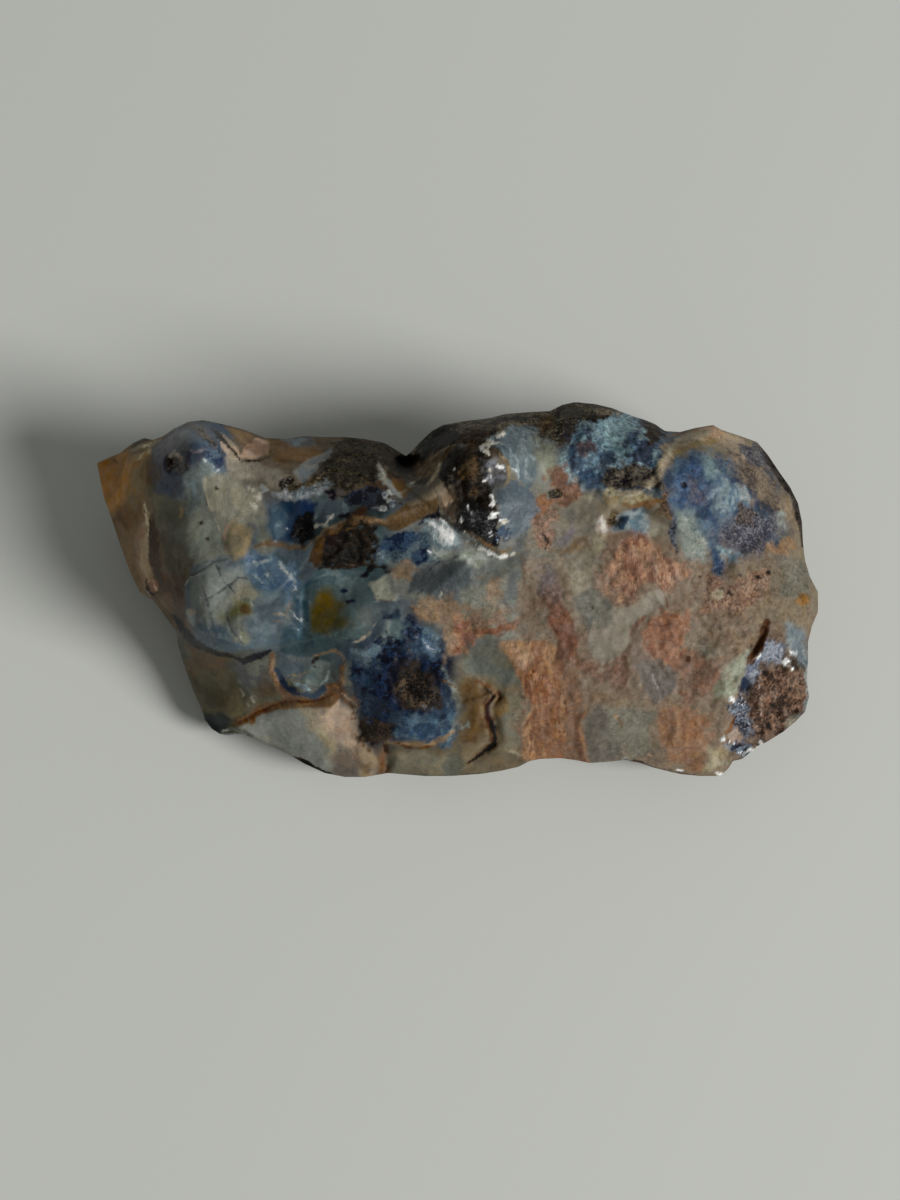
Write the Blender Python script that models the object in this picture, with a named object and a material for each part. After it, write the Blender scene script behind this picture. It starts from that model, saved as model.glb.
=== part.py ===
"""A rough piece of boulder opal, broken from its ironstone host and lying on its flat back.

One natural stone, so one solid. Its face is a height field over the outline that is seen from the
front and above, and it carries the stone's domes, ridges, ledges, grooves and pits. The rim of the
face is drawn down and in to a flat parting plane, on which the stone rests.

Metres, +Z up. The origin is under the middle of the stone, on the plane that it rests on.
"""

import math

import bmesh
import bpy
import numpy as np
from mathutils import Vector, noise

MM = 0.001

# Driving dimensions. The outline spans 721 columns of the picture, so the stone is about 65 mm long
PIXEL = 0.087 * MM  # the real size of a pixel of the picture, at the height that the view is aimed at
PICTURE_MIDDLE = (450.0, 600.0)  # column and row, at which the view is aimed
VIEW_TILT = math.radians(15.0)  # the view leans this far from straight down
VIEW_DISTANCE = 160.0 * MM
AIM_HEIGHT = 12.0 * MM

FACE_COLUMNS = 72
FACE_ROWS = 38
WALL_RINGS = 8

# Outline of the stone as columns and rows of the picture, one list for each side, joined at the corners
NORTH = [
    (97, 463), (108, 458), (120, 453), (133, 443), (144, 438), (153, 440), (163, 436), (175, 428),
    (188, 422), (203, 420), (222, 424), (245, 430), (265, 438), (285, 439), (305, 436), (325, 437),
    (345, 437), (365, 439), (385, 443), (398, 451), (406, 456), (412, 451), (420, 442), (432, 431),
    (443, 425), (465, 421), (490, 418), (505, 414), (530, 412), (550, 411), (562, 405), (575, 402),
    (595, 404), (612, 408), (632, 416), (645, 420), (655, 424), (665, 431), (680, 432), (695, 428),
    (713, 425), (722, 430), (740, 436), (757, 442), (768, 455),
]
EAST = [
    (768, 455), (780, 473), (790, 487), (798, 503), (802, 522), (803, 543), (805, 560), (810, 577),
    (818, 592), (818, 612), (812, 626), (808, 642), (808, 660), (807, 680), (809, 697), (805, 712),
]
SOUTH = [
    (805, 712), (795, 722), (783, 732), (770, 740), (757, 747), (742, 759), (733, 761), (728, 769),
    (720, 776), (700, 776), (680, 774), (660, 769), (645, 764),
    (625, 760), (605, 762), (590, 763), (575, 760), (560, 758), (540, 759), (530, 761), (518, 767),
    (500, 771), (480, 774), (450, 776), (425, 776), (400, 774), (388, 773), (365, 777), (345, 777),
    (325, 773), (305, 764), (285, 752), (262, 741), (240, 733), (220, 734),
]
WEST = [
    (220, 734), (212, 729), (205, 720), (201, 708), (193, 690), (184, 665), (178, 645), (177, 632),
    (165, 616), (154, 601), (140, 592), (132, 577), (122, 550), (112, 520), (103, 495), (97, 463),
]

# Heights above the resting plane in millimetres, at a column and a row: the rim, then the face
RIM_HEIGHTS = {
    "west_corner": (97, 463, 8.0), "west_edge": (112, 520, 7.0), "west_foot": (137, 590, 5.5),
    "south_west_notch": (165, 615, 6.0), "south_west_edge": (185, 668, 4.5), "toe": (203, 714, 3.2),
    "toe_tip": (220, 734, 3.0), "cream_west": (262, 741, 4.2), "cream_middle": (305, 764, 4.4),
    "cream_east": (345, 777, 4.7), "crack_foot": (388, 774, 5.3), "beige_edge": (450, 776, 5.8),
    "step_in_edge": (520, 766, 6.3), "band_edge": (560, 758, 6.6), "window_edge": (605, 762, 6.3),
    "orange_edge": (645, 764, 6.0), "east_toe": (700, 776, 5.3), "notch": (735, 760, 5.6),
    "matrix_toe": (760, 745, 5.8), "matrix_edge": (795, 722, 6.0), "east_low": (809, 690, 6.4),
    "east_middle": (808, 650, 7.0), "east_bump": (818, 602, 7.0), "east_waist": (804, 560, 8.0),
    "east_high": (802, 520, 8.2), "shoulder": (790, 487, 8.6), "shoulder_top": (768, 455, 9.2),
    "back_east": (740, 436, 10.6), "back_cream": (713, 425, 12.0), "back_dip": (680, 432, 13.0),
    "back_knob": (655, 424, 13.5), "back_crest_east": (620, 411, 14.0), "back_crest": (580, 402, 13.8),
    "back_crest_west": (550, 411, 14.5), "arch_east": (505, 414, 14.6), "arch": (443, 425, 14.6),
    "cleft": (406, 456, 12.6), "back_hollow": (385, 443, 13.0), "back_middle": (345, 437, 13.2),
    "back_saddle": (300, 437, 13.0), "back_west": (265, 438, 13.6), "nose_east": (222, 424, 15.2),
    "nose_back": (195, 421, 15.6), "nose_west": (163, 436, 14.0), "amber_back": (142, 438, 11.5),
    "amber_edge": (120, 453, 9.6),
}
FACE_HEIGHTS = {
    "nose": (192, 444, 19.2), "nose_front": (190, 485, 18.2), "nose_side": (165, 462, 17.2),
    "amber": (120, 482, 10.8), "amber_fold": (140, 480, 13.6), "amber_low": (128, 525, 8.8),
    "brown_facet": (164, 545, 13.8), "brown_edge": (147, 545, 11.4), "brown_foot": (163, 600, 9.8),
    "chip": (150, 586, 8.4), "plate_west": (182, 560, 15.8), "plate_top": (205, 530, 16.9),
    "plate": (225, 610, 15.4), "plate_east": (272, 615, 15.4), "plate_low": (235, 645, 13.8),
    "plate_corner": (190, 625, 12.9), "toe_facet": (225, 690, 7.2), "toe_facet_top": (225, 668, 9.6),
    "toe_facet_east": (262, 685, 9.6), "toe_low": (215, 722, 3.9), "rust_west": (245, 717, 6.2),
    "pocket": (308, 672, 12.0), "pocket_west": (272, 665, 12.0), "pocket_foot": (300, 703, 9.7),
    "cream_top": (335, 700, 10.3), "cream": (320, 730, 7.5), "cream_foot": (345, 765, 5.6),
    "cream_corner": (375, 750, 7.4), "blue_band": (302, 605, 14.9), "teal_plate": (348, 600, 15.8),
    "teal_low": (350, 640, 14.6), "navy": (405, 685, 12.8), "navy_foot": (400, 728, 10.2),
    "navy_top": (420, 645, 14.2), "beige": (465, 705, 11.6), "beige_foot": (435, 757, 7.6),
    "beige_east": (500, 752, 8.2), "band": (545, 690, 12.0), "band_foot": (548, 735, 9.0),
    "window_foot": (605, 735, 9.0), "window": (605, 690, 11.8), "centre": (590, 620, 14.2),
    "centre_west": (500, 610, 15.4), "centre_top": (555, 560, 16.6), "tan": (465, 625, 14.8),
    "dome_apron": (455, 585, 16.6), "apron_west": (400, 580, 16.1), "clay": (645, 560, 15.6),
    "clay_east": (690, 640, 12.9), "clay_foot": (695, 725, 8.9), "east_face": (705, 680, 11.0),
    "east_grey": (745, 605, 13.0), "slit": (752, 640, 11.6), "east_shelf": (790, 590, 10.8),
    "matrix": (770, 680, 9.7), "matrix_low": (765, 722, 7.8), "matrix_west": (738, 715, 9.2),
    "blue_east": (700, 500, 15.6), "blue_low": (720, 560, 14.4), "blue_rough": (755, 530, 12.9),
    "shoulder_face": (745, 465, 12.9), "east_rough": (785, 530, 10.2), "rim_cream": (690, 442, 15.0),
    "crest_blue": (620, 440, 17.2), "crest_dark": (600, 414, 15.6), "crest_low": (625, 480, 17.6),
    "crest_west": (560, 435, 17.6), "crest_knob": (650, 440, 16.4), "hollow": (640, 525, 16.4),
    "dome_east": (545, 480, 18.4), "dome_foot": (540, 530, 17.4), "dome": (492, 470, 19.6),
    "dome_west": (460, 475, 19.2), "dome_low": (490, 525, 18.7), "dome_back": (500, 430, 18.2),
    "arch_crest": (455, 438, 17.9), "gloss": (444, 535, 18.2), "lip_east": (425, 500, 19.0),
    "lip": (375, 518, 18.6), "lip_west": (325, 538, 17.5), "matrix_mid": (350, 550, 16.6),
    "matrix_mid_east": (395, 548, 17.2), "navy_west": (287, 520, 17.2), "saddle_front": (300, 490, 18.0),
    "saddle_front_east": (365, 495, 18.4), "saddle_front_west": (238, 478, 18.0),
    "saddle": (275, 455, 16.3), "saddle_east": (350, 463, 16.6), "blue_ledge": (260, 570, 16.1),
    "cleft_face": (408, 486, 18.0), "cleft_west": (388, 470, 16.9), "cleft_east": (432, 468, 18.2),
}

# Domes and pits: column, row, half width and half height in pixels, then height in millimetres
LUMPS = {
    "dome": (488, 482, 46, 58, 1.3), "dome_boss": (505, 515, 30, 30, 0.5),
    "nose": (192, 446, 30, 26, 0.7), "nose_pit": (174, 463, 9, 8, -0.8),
    "cleft_pit": (409, 464, 16, 10, -2.4), "pocket": (312, 672, 30, 20, -0.8),
    "blue_boss": (700, 495, 34, 40, 0.6), "crest_boss": (585, 420, 28, 18, 0.7),
    "crest_knob": (652, 432, 16, 12, 0.6), "matrix_pocket": (768, 692, 34, 36, -0.6),
    "shade_hollow": (614, 519, 10, 9, -0.6), "arch_hollow": (445, 436, 14, 9, -0.5),
    "mid_hollow": (300, 528, 22, 13, -0.7), "saddle_dark": (350, 465, 30, 16, -0.5),
    "east_bump": (806, 602, 16, 18, 0.5), "clay_swell": (645, 568, 42, 34, 0.4),
}

# Ledges: a path whose right-hand side is the high one, then drop and reach in millimetres
LEDGES = {
    "dome_foot": ([(520, 548), (500, 555), (478, 544), (454, 525)], 1.5, 3.0),
    "plate_foot": ([(272, 649), (240, 657), (205, 651), (188, 640), (175, 625)], 1.5, 4.0),
    "lip": ([(438, 508), (400, 525), (362, 524), (335, 532), (312, 556)], 1.1, 2.2),
    "matrix_mid_foot": ([(312, 566), (350, 570), (392, 562)], -0.7, 2.0),
    "crack_lens": ([(473, 760), (497, 738), (490, 706), (497, 692), (484, 684)], -0.9, 3.0),
    "cream_east": ([(388, 776), (386, 748), (368, 736), (360, 714), (345, 692)], 0.8, 3.0),
    "matrix_west": ([(795, 640), (763, 655), (748, 676), (736, 698), (730, 718), (722, 742)], 0.9, 3.0),
    "west_fold": ([(150, 598), (148, 560), (147, 516)], 0.7, 1.6),
    "cream_rim": ([(668, 524), (642, 507), (622, 510), (606, 524)], 0.8, 2.4),
    "blue_arc": ([(262, 550), (245, 562), (232, 556), (225, 540), (236, 518)], 0.4, 1.6),
}

# Ridges and grooves: a path, then half width and height in millimetres
FOLDS = {
    "lip": ([(320, 543), (345, 526), (390, 515), (420, 502), (441, 478), (448, 456)], 1.2, 0.9),
    "arch": ([(420, 452), (445, 443), (474, 428), (505, 421), (540, 419)], 0.9, 0.6),
    "cream_rim": ([(612, 500), (640, 489), (660, 492), (662, 462), (676, 444), (712, 430)], 0.9, 0.6),
    "saddle_front": ([(238, 476), (270, 484), (305, 490), (345, 492), (392, 500)], 0.9, 0.5),
    "rust": ([(232, 722), (262, 711), (286, 702), (320, 700), (340, 688)], 0.6, -0.5),
    "blue_band": ([(300, 572), (303, 605), (304, 632), (292, 654)], 0.9, -0.4),
    "crack": ([(487, 686), (498, 696), (488, 706), (493, 724), (496, 738), (474, 760)], 0.5, -0.8),
    "slit": ([(764, 624), (758, 640), (750, 656)], 0.45, -0.8),
    "cream_crack": ([(386, 746), (390, 756), (387, 774)], 0.45, -0.6),
    "navy_foot": ([(372, 738), (402, 744), (436, 746)], 0.5, -0.5),
}

FACE_LUMP_SIZE = 3.2 * MM  # of the soft unevenness all over the face
FACE_LUMP_HEIGHT = 0.35 * MM
ROUGH_EAST_HEIGHT = 0.5 * MM  # of the knobbly opal and clay at the east end
ROUGH_EAST_COLUMN = 690.0  # where it starts
ROUGH_EAST_RUN = 60.0  # pixels over which it grows to the full height
ROUGH_EAST_FINENESS = 2.3  # times as fine as the soft unevenness
SCALLOP_SIZE = 5.5 * MM  # of the shell-like hollows between sharp edges
SCALLOP_DEPTH = 0.7 * MM

LUMP_FALL = 1.5  # how steeply the domes and pits run out
TAPER_END = 0.04  # the share of a ledge's or fold's length at each end that keeps its least strength
LEDGE_WIDTH = 1.7 * MM  # the run over which a ledge drops
LEAST_FOLD = 1.1 * MM  # the least half width of a ridge or groove
RIM_FADE = 1.0 * MM  # the relief fades out over this far from the rim

# The walls under the rim
SPINE_HALF_LENGTH = 15.0 * MM  # the walls lean in towards a line of this half length through the middle
WALL_LEAN = math.radians(24.0)  # from upright
WALL_TURN = 1.3  # above 1, the wall leaves the rim upright and turns in towards the base
WALL_FLAT_SIZE = 7.0 * MM  # of the broken flats
WALL_FLAT_DEPTH = 1.8 * MM
WALL_FLAT_MIDDLE = 0.4  # the share of that depth at which a flat neither stands out nor is sunk in
WALL_LUMP_SIZE = 3.0 * MM  # of the finer lumps on them
WALL_LUMP_DEPTH = 1.0 * MM
WALL_EASING = 13  # rim points to each side, over which the rim's small corners are eased at the base
BASE_INSET = 1.2 * MM  # the least that the resting plane lies inside the rim
LEAST_LEAN = math.radians(12.0)  # no part of a wall stands out beyond this lean

OPAL_COLOUR = (0.16, 0.17, 0.16, 1.0)
OPAL_ROUGHNESS = 0.38


def along(path, count):
    """count + 1 points, evenly spaced along a path of picture points."""
    path = np.array(path, float)
    run = np.concatenate([[0], np.cumsum(np.hypot(*np.diff(path, axis=0).T))])
    stops = np.linspace(0, run[-1], count + 1)
    return np.stack([np.interp(stops, run, path[:, 0]), np.interp(stops, run, path[:, 1])], axis=1)


def picture_points(across, up):
    """Picture points at shares (0 to 1) across and up the stone: a Coons patch between its four sides."""
    north, south = along(NORTH, FACE_COLUMNS), along(SOUTH[::-1], FACE_COLUMNS)
    west, east = along(WEST, FACE_ROWS), along(EAST[::-1], FACE_ROWS)
    i = np.rint(across * FACE_COLUMNS).astype(int)
    j = np.rint(up * FACE_ROWS).astype(int)
    s, t = across[:, None], up[:, None]
    corners = (
        (1 - s) * (1 - t) * south[0]
        + s * (1 - t) * south[-1]
        + (1 - s) * t * north[0]
        + s * t * north[-1]
    )
    return (1 - t) * south[i] + t * north[i] + (1 - s) * west[j] + s * east[j] - corners


def distance_to(path, points):
    """Distance in pixels from a path, positive to the right of the walk, and the share of the way along."""
    path = np.array(path, float)
    lengths = np.hypot(*np.diff(path, axis=0).T)
    starts = np.concatenate([[0], np.cumsum(lengths)])
    nearest = np.full(len(points), np.inf)
    side = np.ones(len(points))
    share = np.zeros(len(points))
    for k, (a, b) in enumerate(zip(path[:-1], path[1:])):
        step = b - a
        t = np.clip((points - a) @ step / (step @ step), 0, 1)
        gap = points - (a + t[:, None] * step)
        distance = np.hypot(gap[:, 0], gap[:, 1])
        cross = step[0] * (points[:, 1] - a[1]) - step[1] * (points[:, 0] - a[0])
        closer = distance < nearest
        nearest = np.where(closer, distance, nearest)
        side = np.where(closer, np.where(cross < 0, -1.0, 1.0), side)
        share = np.where(closer, (starts[k] + t * lengths[k]) / starts[-1], share)
    return nearest * side, share


def taper(share):
    """How strong a ledge or a fold is along its path: it dies away at both ends."""
    return np.sin(np.pi * np.clip(share, TAPER_END, 1 - TAPER_END)) ** 0.5


def spline_heights(points):
    """Heights in metres at picture points: a thin-plate spline through the landmarks."""
    marks = np.array([*RIM_HEIGHTS.values(), *FACE_HEIGHTS.values()], float)
    size = len(marks)

    def bend(p, q):
        squared = ((p[:, None] - q[None]) ** 2).sum(2)
        return 0.5 * squared * np.log(squared + 1e-9)

    flat = np.column_stack([np.ones(size), marks[:, :2]])
    system = np.zeros((size + 3, size + 3))
    system[:size, :size] = bend(marks[:, :2], marks[:, :2])
    system[:size, size:] = flat
    system[size:, :size] = flat.T
    weights = np.linalg.solve(system, np.concatenate([marks[:, 2], np.zeros(3)]))
    plane = np.column_stack([np.ones(len(points)), points])
    return MM * (bend(points, marks[:, :2]) @ weights[:size] + plane @ weights[size:])


def relief(points):
    """What the lumps, ledges and folds add to the height, in metres."""
    added = np.zeros(len(points))
    for column, row, half_width, half_height, height in LUMPS.values():
        spread = ((points[:, 0] - column) / half_width) ** 2 + ((points[:, 1] - row) / half_height) ** 2
        added += height * MM * np.exp(-LUMP_FALL * spread**LUMP_FALL)
    for path, drop, reach in LEDGES.values():
        distance, share = distance_to(path, points)
        away = distance * PIXEL
        fade = taper(share) * np.exp(-np.abs(away) / (reach * MM))
        added += 0.5 * drop * MM * fade * np.tanh(2 * away / LEDGE_WIDTH)
    for path, half_width, height in FOLDS.values():
        distance, share = distance_to(path, points)
        spread = distance * PIXEL / max(half_width * MM, LEAST_FOLD)
        added += height * MM * taper(share) * np.exp(-(spread**2))
    return added


def unevenness(points):
    """Soft swells and shell-like hollows all over the face, and knobs towards the east end, in metres."""
    added = np.zeros(len(points))
    for k, (column, row) in enumerate(points):
        spot = Vector((column, row, 0)) * PIXEL
        rough = min(max((column - ROUGH_EAST_COLUMN) / ROUGH_EAST_RUN, 0.0), 1.0)
        added[k] = FACE_LUMP_HEIGHT * noise.noise(spot / FACE_LUMP_SIZE)
        added[k] += ROUGH_EAST_HEIGHT * rough * noise.noise(spot / FACE_LUMP_SIZE * ROUGH_EAST_FINENESS)
        near, second = noise.voronoi(spot / SCALLOP_SIZE)[0][:2]
        added[k] -= SCALLOP_DEPTH * (second - near)
    return added


def place_in_stone(points, heights):
    """Where picture points of given heights lie in the stone's frame: the view's rays cut those levels."""
    sine, cosine = math.sin(VIEW_TILT), math.cos(VIEW_TILT)
    eye = np.array([0, -VIEW_DISTANCE * sine, AIM_HEIGHT + VIEW_DISTANCE * cosine])
    right = (points[:, 0] - PICTURE_MIDDLE[0]) * PIXEL
    up = (PICTURE_MIDDLE[1] - points[:, 1]) * PIXEL
    rays = np.stack(
        [right, VIEW_DISTANCE * sine + up * cosine, up * sine - VIEW_DISTANCE * cosine], axis=1
    )
    return eye + rays * ((heights - eye[2]) / rays[:, 2])[:, None]


def middle_of_outline():
    """The middle of the outline's box in the stone's frame, which becomes the origin."""
    outline = np.concatenate([along(side, 200) for side in (NORTH, EAST, SOUTH, WEST)])
    places = place_in_stone(outline, spline_heights(outline))
    return (places.min(0) + places.max(0)) / 2 * np.array([1, 1, 0])


def face_places(points):
    """The face's points in the stone's frame."""
    heights = spline_heights(points) + relief(points) + unevenness(points)
    edge = np.min([np.abs(distance_to(side, points)[0]) for side in (NORTH, EAST, SOUTH, WEST)], axis=0)
    rim_share = np.clip(edge * PIXEL / RIM_FADE, 0, 1)
    heights = rim_share * heights + (1 - rim_share) * spline_heights(points)
    return place_in_stone(points, heights) - middle_of_outline()


def wall_rings(rim):
    """The wall's rings under the rim (a closed loop of points), the last one on the resting plane."""
    count = len(rim)
    window = np.arange(-WALL_EASING, WALL_EASING + 1)
    eased = rim[(np.arange(count)[:, None] + window) % count].mean(1)
    spine = np.clip(rim[:, 0], -SPINE_HALF_LENGTH, SPINE_HALF_LENGTH)
    inward = np.stack([spine - rim[:, 0], -rim[:, 1], np.zeros(count)], axis=1)
    inward /= np.linalg.norm(inward, axis=1)[:, None]
    lean = np.maximum(rim[:, 2] * math.tan(WALL_LEAN), BASE_INSET)
    base = (eased + inward * lean[:, None]) * np.array([1, 1, 0])
    rings = []
    for ring in range(1, WALL_RINGS + 1):
        share = ring / WALL_RINGS
        drawn_in = share**WALL_TURN
        level = rim * np.array([1, 1, 0]) * (1 - drawn_in) + base * drawn_in
        level[:, 2] = rim[:, 2] * (1 - share)
        swell = math.sin(math.pi * share) ** 0.5
        for k, place in enumerate(level):
            level[k] += inward[k] * swell * wall_relief(Vector(place))
        drawn = ((level - rim) * inward).sum(1)
        least = (rim[:, 2] - level[:, 2]) * math.tan(LEAST_LEAN)
        level += inward * np.maximum(least - drawn, 0)[:, None]
        rings.append(level)
    return rings


def wall_relief(place):
    """How far in the wall lies at a place, in metres: broken flats with edges between them, and lumps."""
    near, second = noise.voronoi(place / WALL_FLAT_SIZE)[0][:2]
    flats = (second - near - WALL_FLAT_MIDDLE) * WALL_FLAT_DEPTH
    return flats + noise.noise(place / WALL_LUMP_SIZE) * WALL_LUMP_DEPTH


def stone_mesh():
    """The face as a grid, its rim extruded down the walls, and the resting plane filled in."""
    shape = bmesh.new()
    bmesh.ops.create_grid(shape, x_segments=FACE_COLUMNS, y_segments=FACE_ROWS, size=1.0)
    flat = np.array([vertex.co for vertex in shape.verts])
    points = picture_points((flat[:, 0] + 1) / 2, (flat[:, 1] + 1) / 2)
    for vertex, place in zip(shape.verts, face_places(points)):
        vertex.co = place

    rim = [edge for edge in shape.edges if edge.is_boundary]
    loop = ordered_loop(rim)
    rings = wall_rings(np.array([vertex.co for vertex in loop]))
    order = {vertex: k for k, vertex in enumerate(loop)}
    for ring in rings:
        made = bmesh.ops.extrude_edge_only(shape, edges=rim)["geom"]
        rim = [item for item in made if isinstance(item, bmesh.types.BMEdge) and item.is_boundary]
        lower = {}
        for vertex in {vertex for edge in rim for vertex in edge.verts}:
            above = next(edge.other_vert(vertex) for edge in vertex.link_edges if edge not in rim)
            lower[vertex] = order[above]
            vertex.co = ring[lower[vertex]]
        order = lower
    bmesh.ops.contextual_create(shape, geom=rim)
    bmesh.ops.recalc_face_normals(shape, faces=shape.faces)
    mesh = bpy.data.meshes.new("boulder_opal")
    shape.to_mesh(mesh)
    shape.free()
    return mesh


def ordered_loop(edges):
    """The vertices of a closed loop of edges, in order."""
    loop = [edges[0].verts[0], edges[0].verts[1]]
    inside = set(edges)
    while True:
        onward = [
            edge.other_vert(loop[-1])
            for edge in loop[-1].link_edges
            if edge in inside and edge.other_vert(loop[-1]) is not loop[-2]
        ]
        if onward[0] is loop[0]:
            return loop
        loop.append(onward[0])


def opal_material():
    material = bpy.data.materials.new("boulder_opal")
    material.use_nodes = True
    shader = material.node_tree.nodes["Principled BSDF"]
    shader.inputs["Base Color"].default_value = OPAL_COLOUR
    shader.inputs["Roughness"].default_value = OPAL_ROUGHNESS
    shader.inputs["Metallic"].default_value = 0.0
    return material


def build():
    for old in list(bpy.data.objects):
        bpy.data.objects.remove(old)
    collection = bpy.data.collections.new("boulder_opal")
    bpy.context.scene.collection.children.link(collection)
    mesh = stone_mesh()
    mesh.materials.append(opal_material())
    mesh.shade_smooth()
    mesh.set_sharp_from_angle(angle=math.radians(50))
    collection.objects.link(bpy.data.objects.new("boulder_opal", mesh))


build()
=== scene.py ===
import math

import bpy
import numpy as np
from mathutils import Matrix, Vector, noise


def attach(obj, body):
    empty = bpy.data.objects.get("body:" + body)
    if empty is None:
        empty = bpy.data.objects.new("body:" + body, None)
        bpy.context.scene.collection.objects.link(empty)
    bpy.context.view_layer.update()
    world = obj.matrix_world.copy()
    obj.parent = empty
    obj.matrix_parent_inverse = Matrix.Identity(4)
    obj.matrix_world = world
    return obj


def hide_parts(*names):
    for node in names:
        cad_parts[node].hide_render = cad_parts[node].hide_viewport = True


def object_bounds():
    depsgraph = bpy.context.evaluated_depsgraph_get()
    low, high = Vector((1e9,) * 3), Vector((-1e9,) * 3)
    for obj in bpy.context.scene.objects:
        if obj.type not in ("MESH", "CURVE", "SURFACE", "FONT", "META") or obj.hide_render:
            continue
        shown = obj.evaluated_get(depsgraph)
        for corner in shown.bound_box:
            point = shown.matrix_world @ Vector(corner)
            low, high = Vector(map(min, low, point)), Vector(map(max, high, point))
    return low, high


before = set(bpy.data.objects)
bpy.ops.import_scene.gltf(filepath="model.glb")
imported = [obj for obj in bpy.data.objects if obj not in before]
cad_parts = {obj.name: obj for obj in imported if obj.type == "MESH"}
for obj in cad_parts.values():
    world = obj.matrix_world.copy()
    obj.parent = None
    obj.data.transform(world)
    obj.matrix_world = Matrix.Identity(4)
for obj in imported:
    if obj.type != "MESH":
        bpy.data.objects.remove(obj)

# The looks of a rough piece of boulder opal: one fine stone over the plain solid, painted by numbers.
# The fine stone repeats the solid's outline, heights, lumps, ledges and folds on a closer grid and adds
# the small relief: ironstone grain, chipped edges, cracks, pits and the ripples of broken opal. Colour,
# gloss and grain are laid on it as marks, each at its place on the face, and the walls and the
# underside carry ironstone with seams of opal.
# Some marks are painted light: pale glossy glints and glares stand for highlights, and a dark arc stands for
# the shadow under the cream rim.

CAD_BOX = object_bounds()
MM = 0.001

# The same shape as the solid: see its source for what each value means
PIXEL = 0.087 * MM
PICTURE_MIDDLE = (450.0, 600.0)
PICTURE_ROWS = 1200
VIEW_TILT = math.radians(15.0)
VIEW_DISTANCE = 160.0 * MM
AIM_HEIGHT = 12.0 * MM
# Outline of the stone as columns and rows of the picture, one list for each side, joined at the corners
NORTH = [
    (97, 463), (108, 458), (120, 453), (133, 443), (144, 438), (153, 440), (163, 436), (175, 428),
    (188, 422), (203, 420), (222, 424), (245, 430), (265, 438), (285, 439), (305, 436), (325, 437),
    (345, 437), (365, 439), (385, 443), (398, 451), (406, 456), (412, 451), (420, 442), (432, 431),
    (443, 425), (465, 421), (490, 418), (505, 414), (530, 412), (550, 411), (562, 405), (575, 402),
    (595, 404), (612, 408), (632, 416), (645, 420), (655, 424), (665, 431), (680, 432), (695, 428),
    (713, 425), (722, 430), (740, 436), (757, 442), (768, 455),
]
EAST = [
    (768, 455), (780, 473), (790, 487), (798, 503), (802, 522), (803, 543), (805, 560), (810, 577),
    (818, 592), (818, 612), (812, 626), (808, 642), (808, 660), (807, 680), (809, 697), (805, 712),
]
SOUTH = [
    (805, 712), (795, 722), (783, 732), (770, 740), (757, 747), (742, 759), (733, 761), (728, 769),
    (720, 776), (700, 776), (680, 774), (660, 769), (645, 764),
    (625, 760), (605, 762), (590, 763), (575, 760), (560, 758), (540, 759), (530, 761), (518, 767),
    (500, 771), (480, 774), (450, 776), (425, 776), (400, 774), (388, 773), (365, 777), (345, 777),
    (325, 773), (305, 764), (285, 752), (262, 741), (240, 733), (220, 734),
]
WEST = [
    (220, 734), (212, 729), (205, 720), (201, 708), (193, 690), (184, 665), (178, 645), (177, 632),
    (165, 616), (154, 601), (140, 592), (132, 577), (122, 550), (112, 520), (103, 495), (97, 463),
]

# Heights above the resting plane in millimetres, at a column and a row: the rim, then the face
RIM_HEIGHTS = {
    "west_corner": (97, 463, 8.0), "west_edge": (112, 520, 7.0), "west_foot": (137, 590, 5.5),
    "south_west_notch": (165, 615, 6.0), "south_west_edge": (185, 668, 4.5), "toe": (203, 714, 3.2),
    "toe_tip": (220, 734, 3.0), "cream_west": (262, 741, 4.2), "cream_middle": (305, 764, 4.4),
    "cream_east": (345, 777, 4.7), "crack_foot": (388, 774, 5.3), "beige_edge": (450, 776, 5.8),
    "step_in_edge": (520, 766, 6.3), "band_edge": (560, 758, 6.6), "window_edge": (605, 762, 6.3),
    "orange_edge": (645, 764, 6.0), "east_toe": (700, 776, 5.3), "notch": (735, 760, 5.6),
    "matrix_toe": (760, 745, 5.8), "matrix_edge": (795, 722, 6.0), "east_low": (809, 690, 6.4),
    "east_middle": (808, 650, 7.0), "east_bump": (818, 602, 7.0), "east_waist": (804, 560, 8.0),
    "east_high": (802, 520, 8.2), "shoulder": (790, 487, 8.6), "shoulder_top": (768, 455, 9.2),
    "back_east": (740, 436, 10.6), "back_cream": (713, 425, 12.0), "back_dip": (680, 432, 13.0),
    "back_knob": (655, 424, 13.5), "back_crest_east": (620, 411, 14.0), "back_crest": (580, 402, 13.8),
    "back_crest_west": (550, 411, 14.5), "arch_east": (505, 414, 14.6), "arch": (443, 425, 14.6),
    "cleft": (406, 456, 12.6), "back_hollow": (385, 443, 13.0), "back_middle": (345, 437, 13.2),
    "back_saddle": (300, 437, 13.0), "back_west": (265, 438, 13.6), "nose_east": (222, 424, 15.2),
    "nose_back": (195, 421, 15.6), "nose_west": (163, 436, 14.0), "amber_back": (142, 438, 11.5),
    "amber_edge": (120, 453, 9.6),
}
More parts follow.
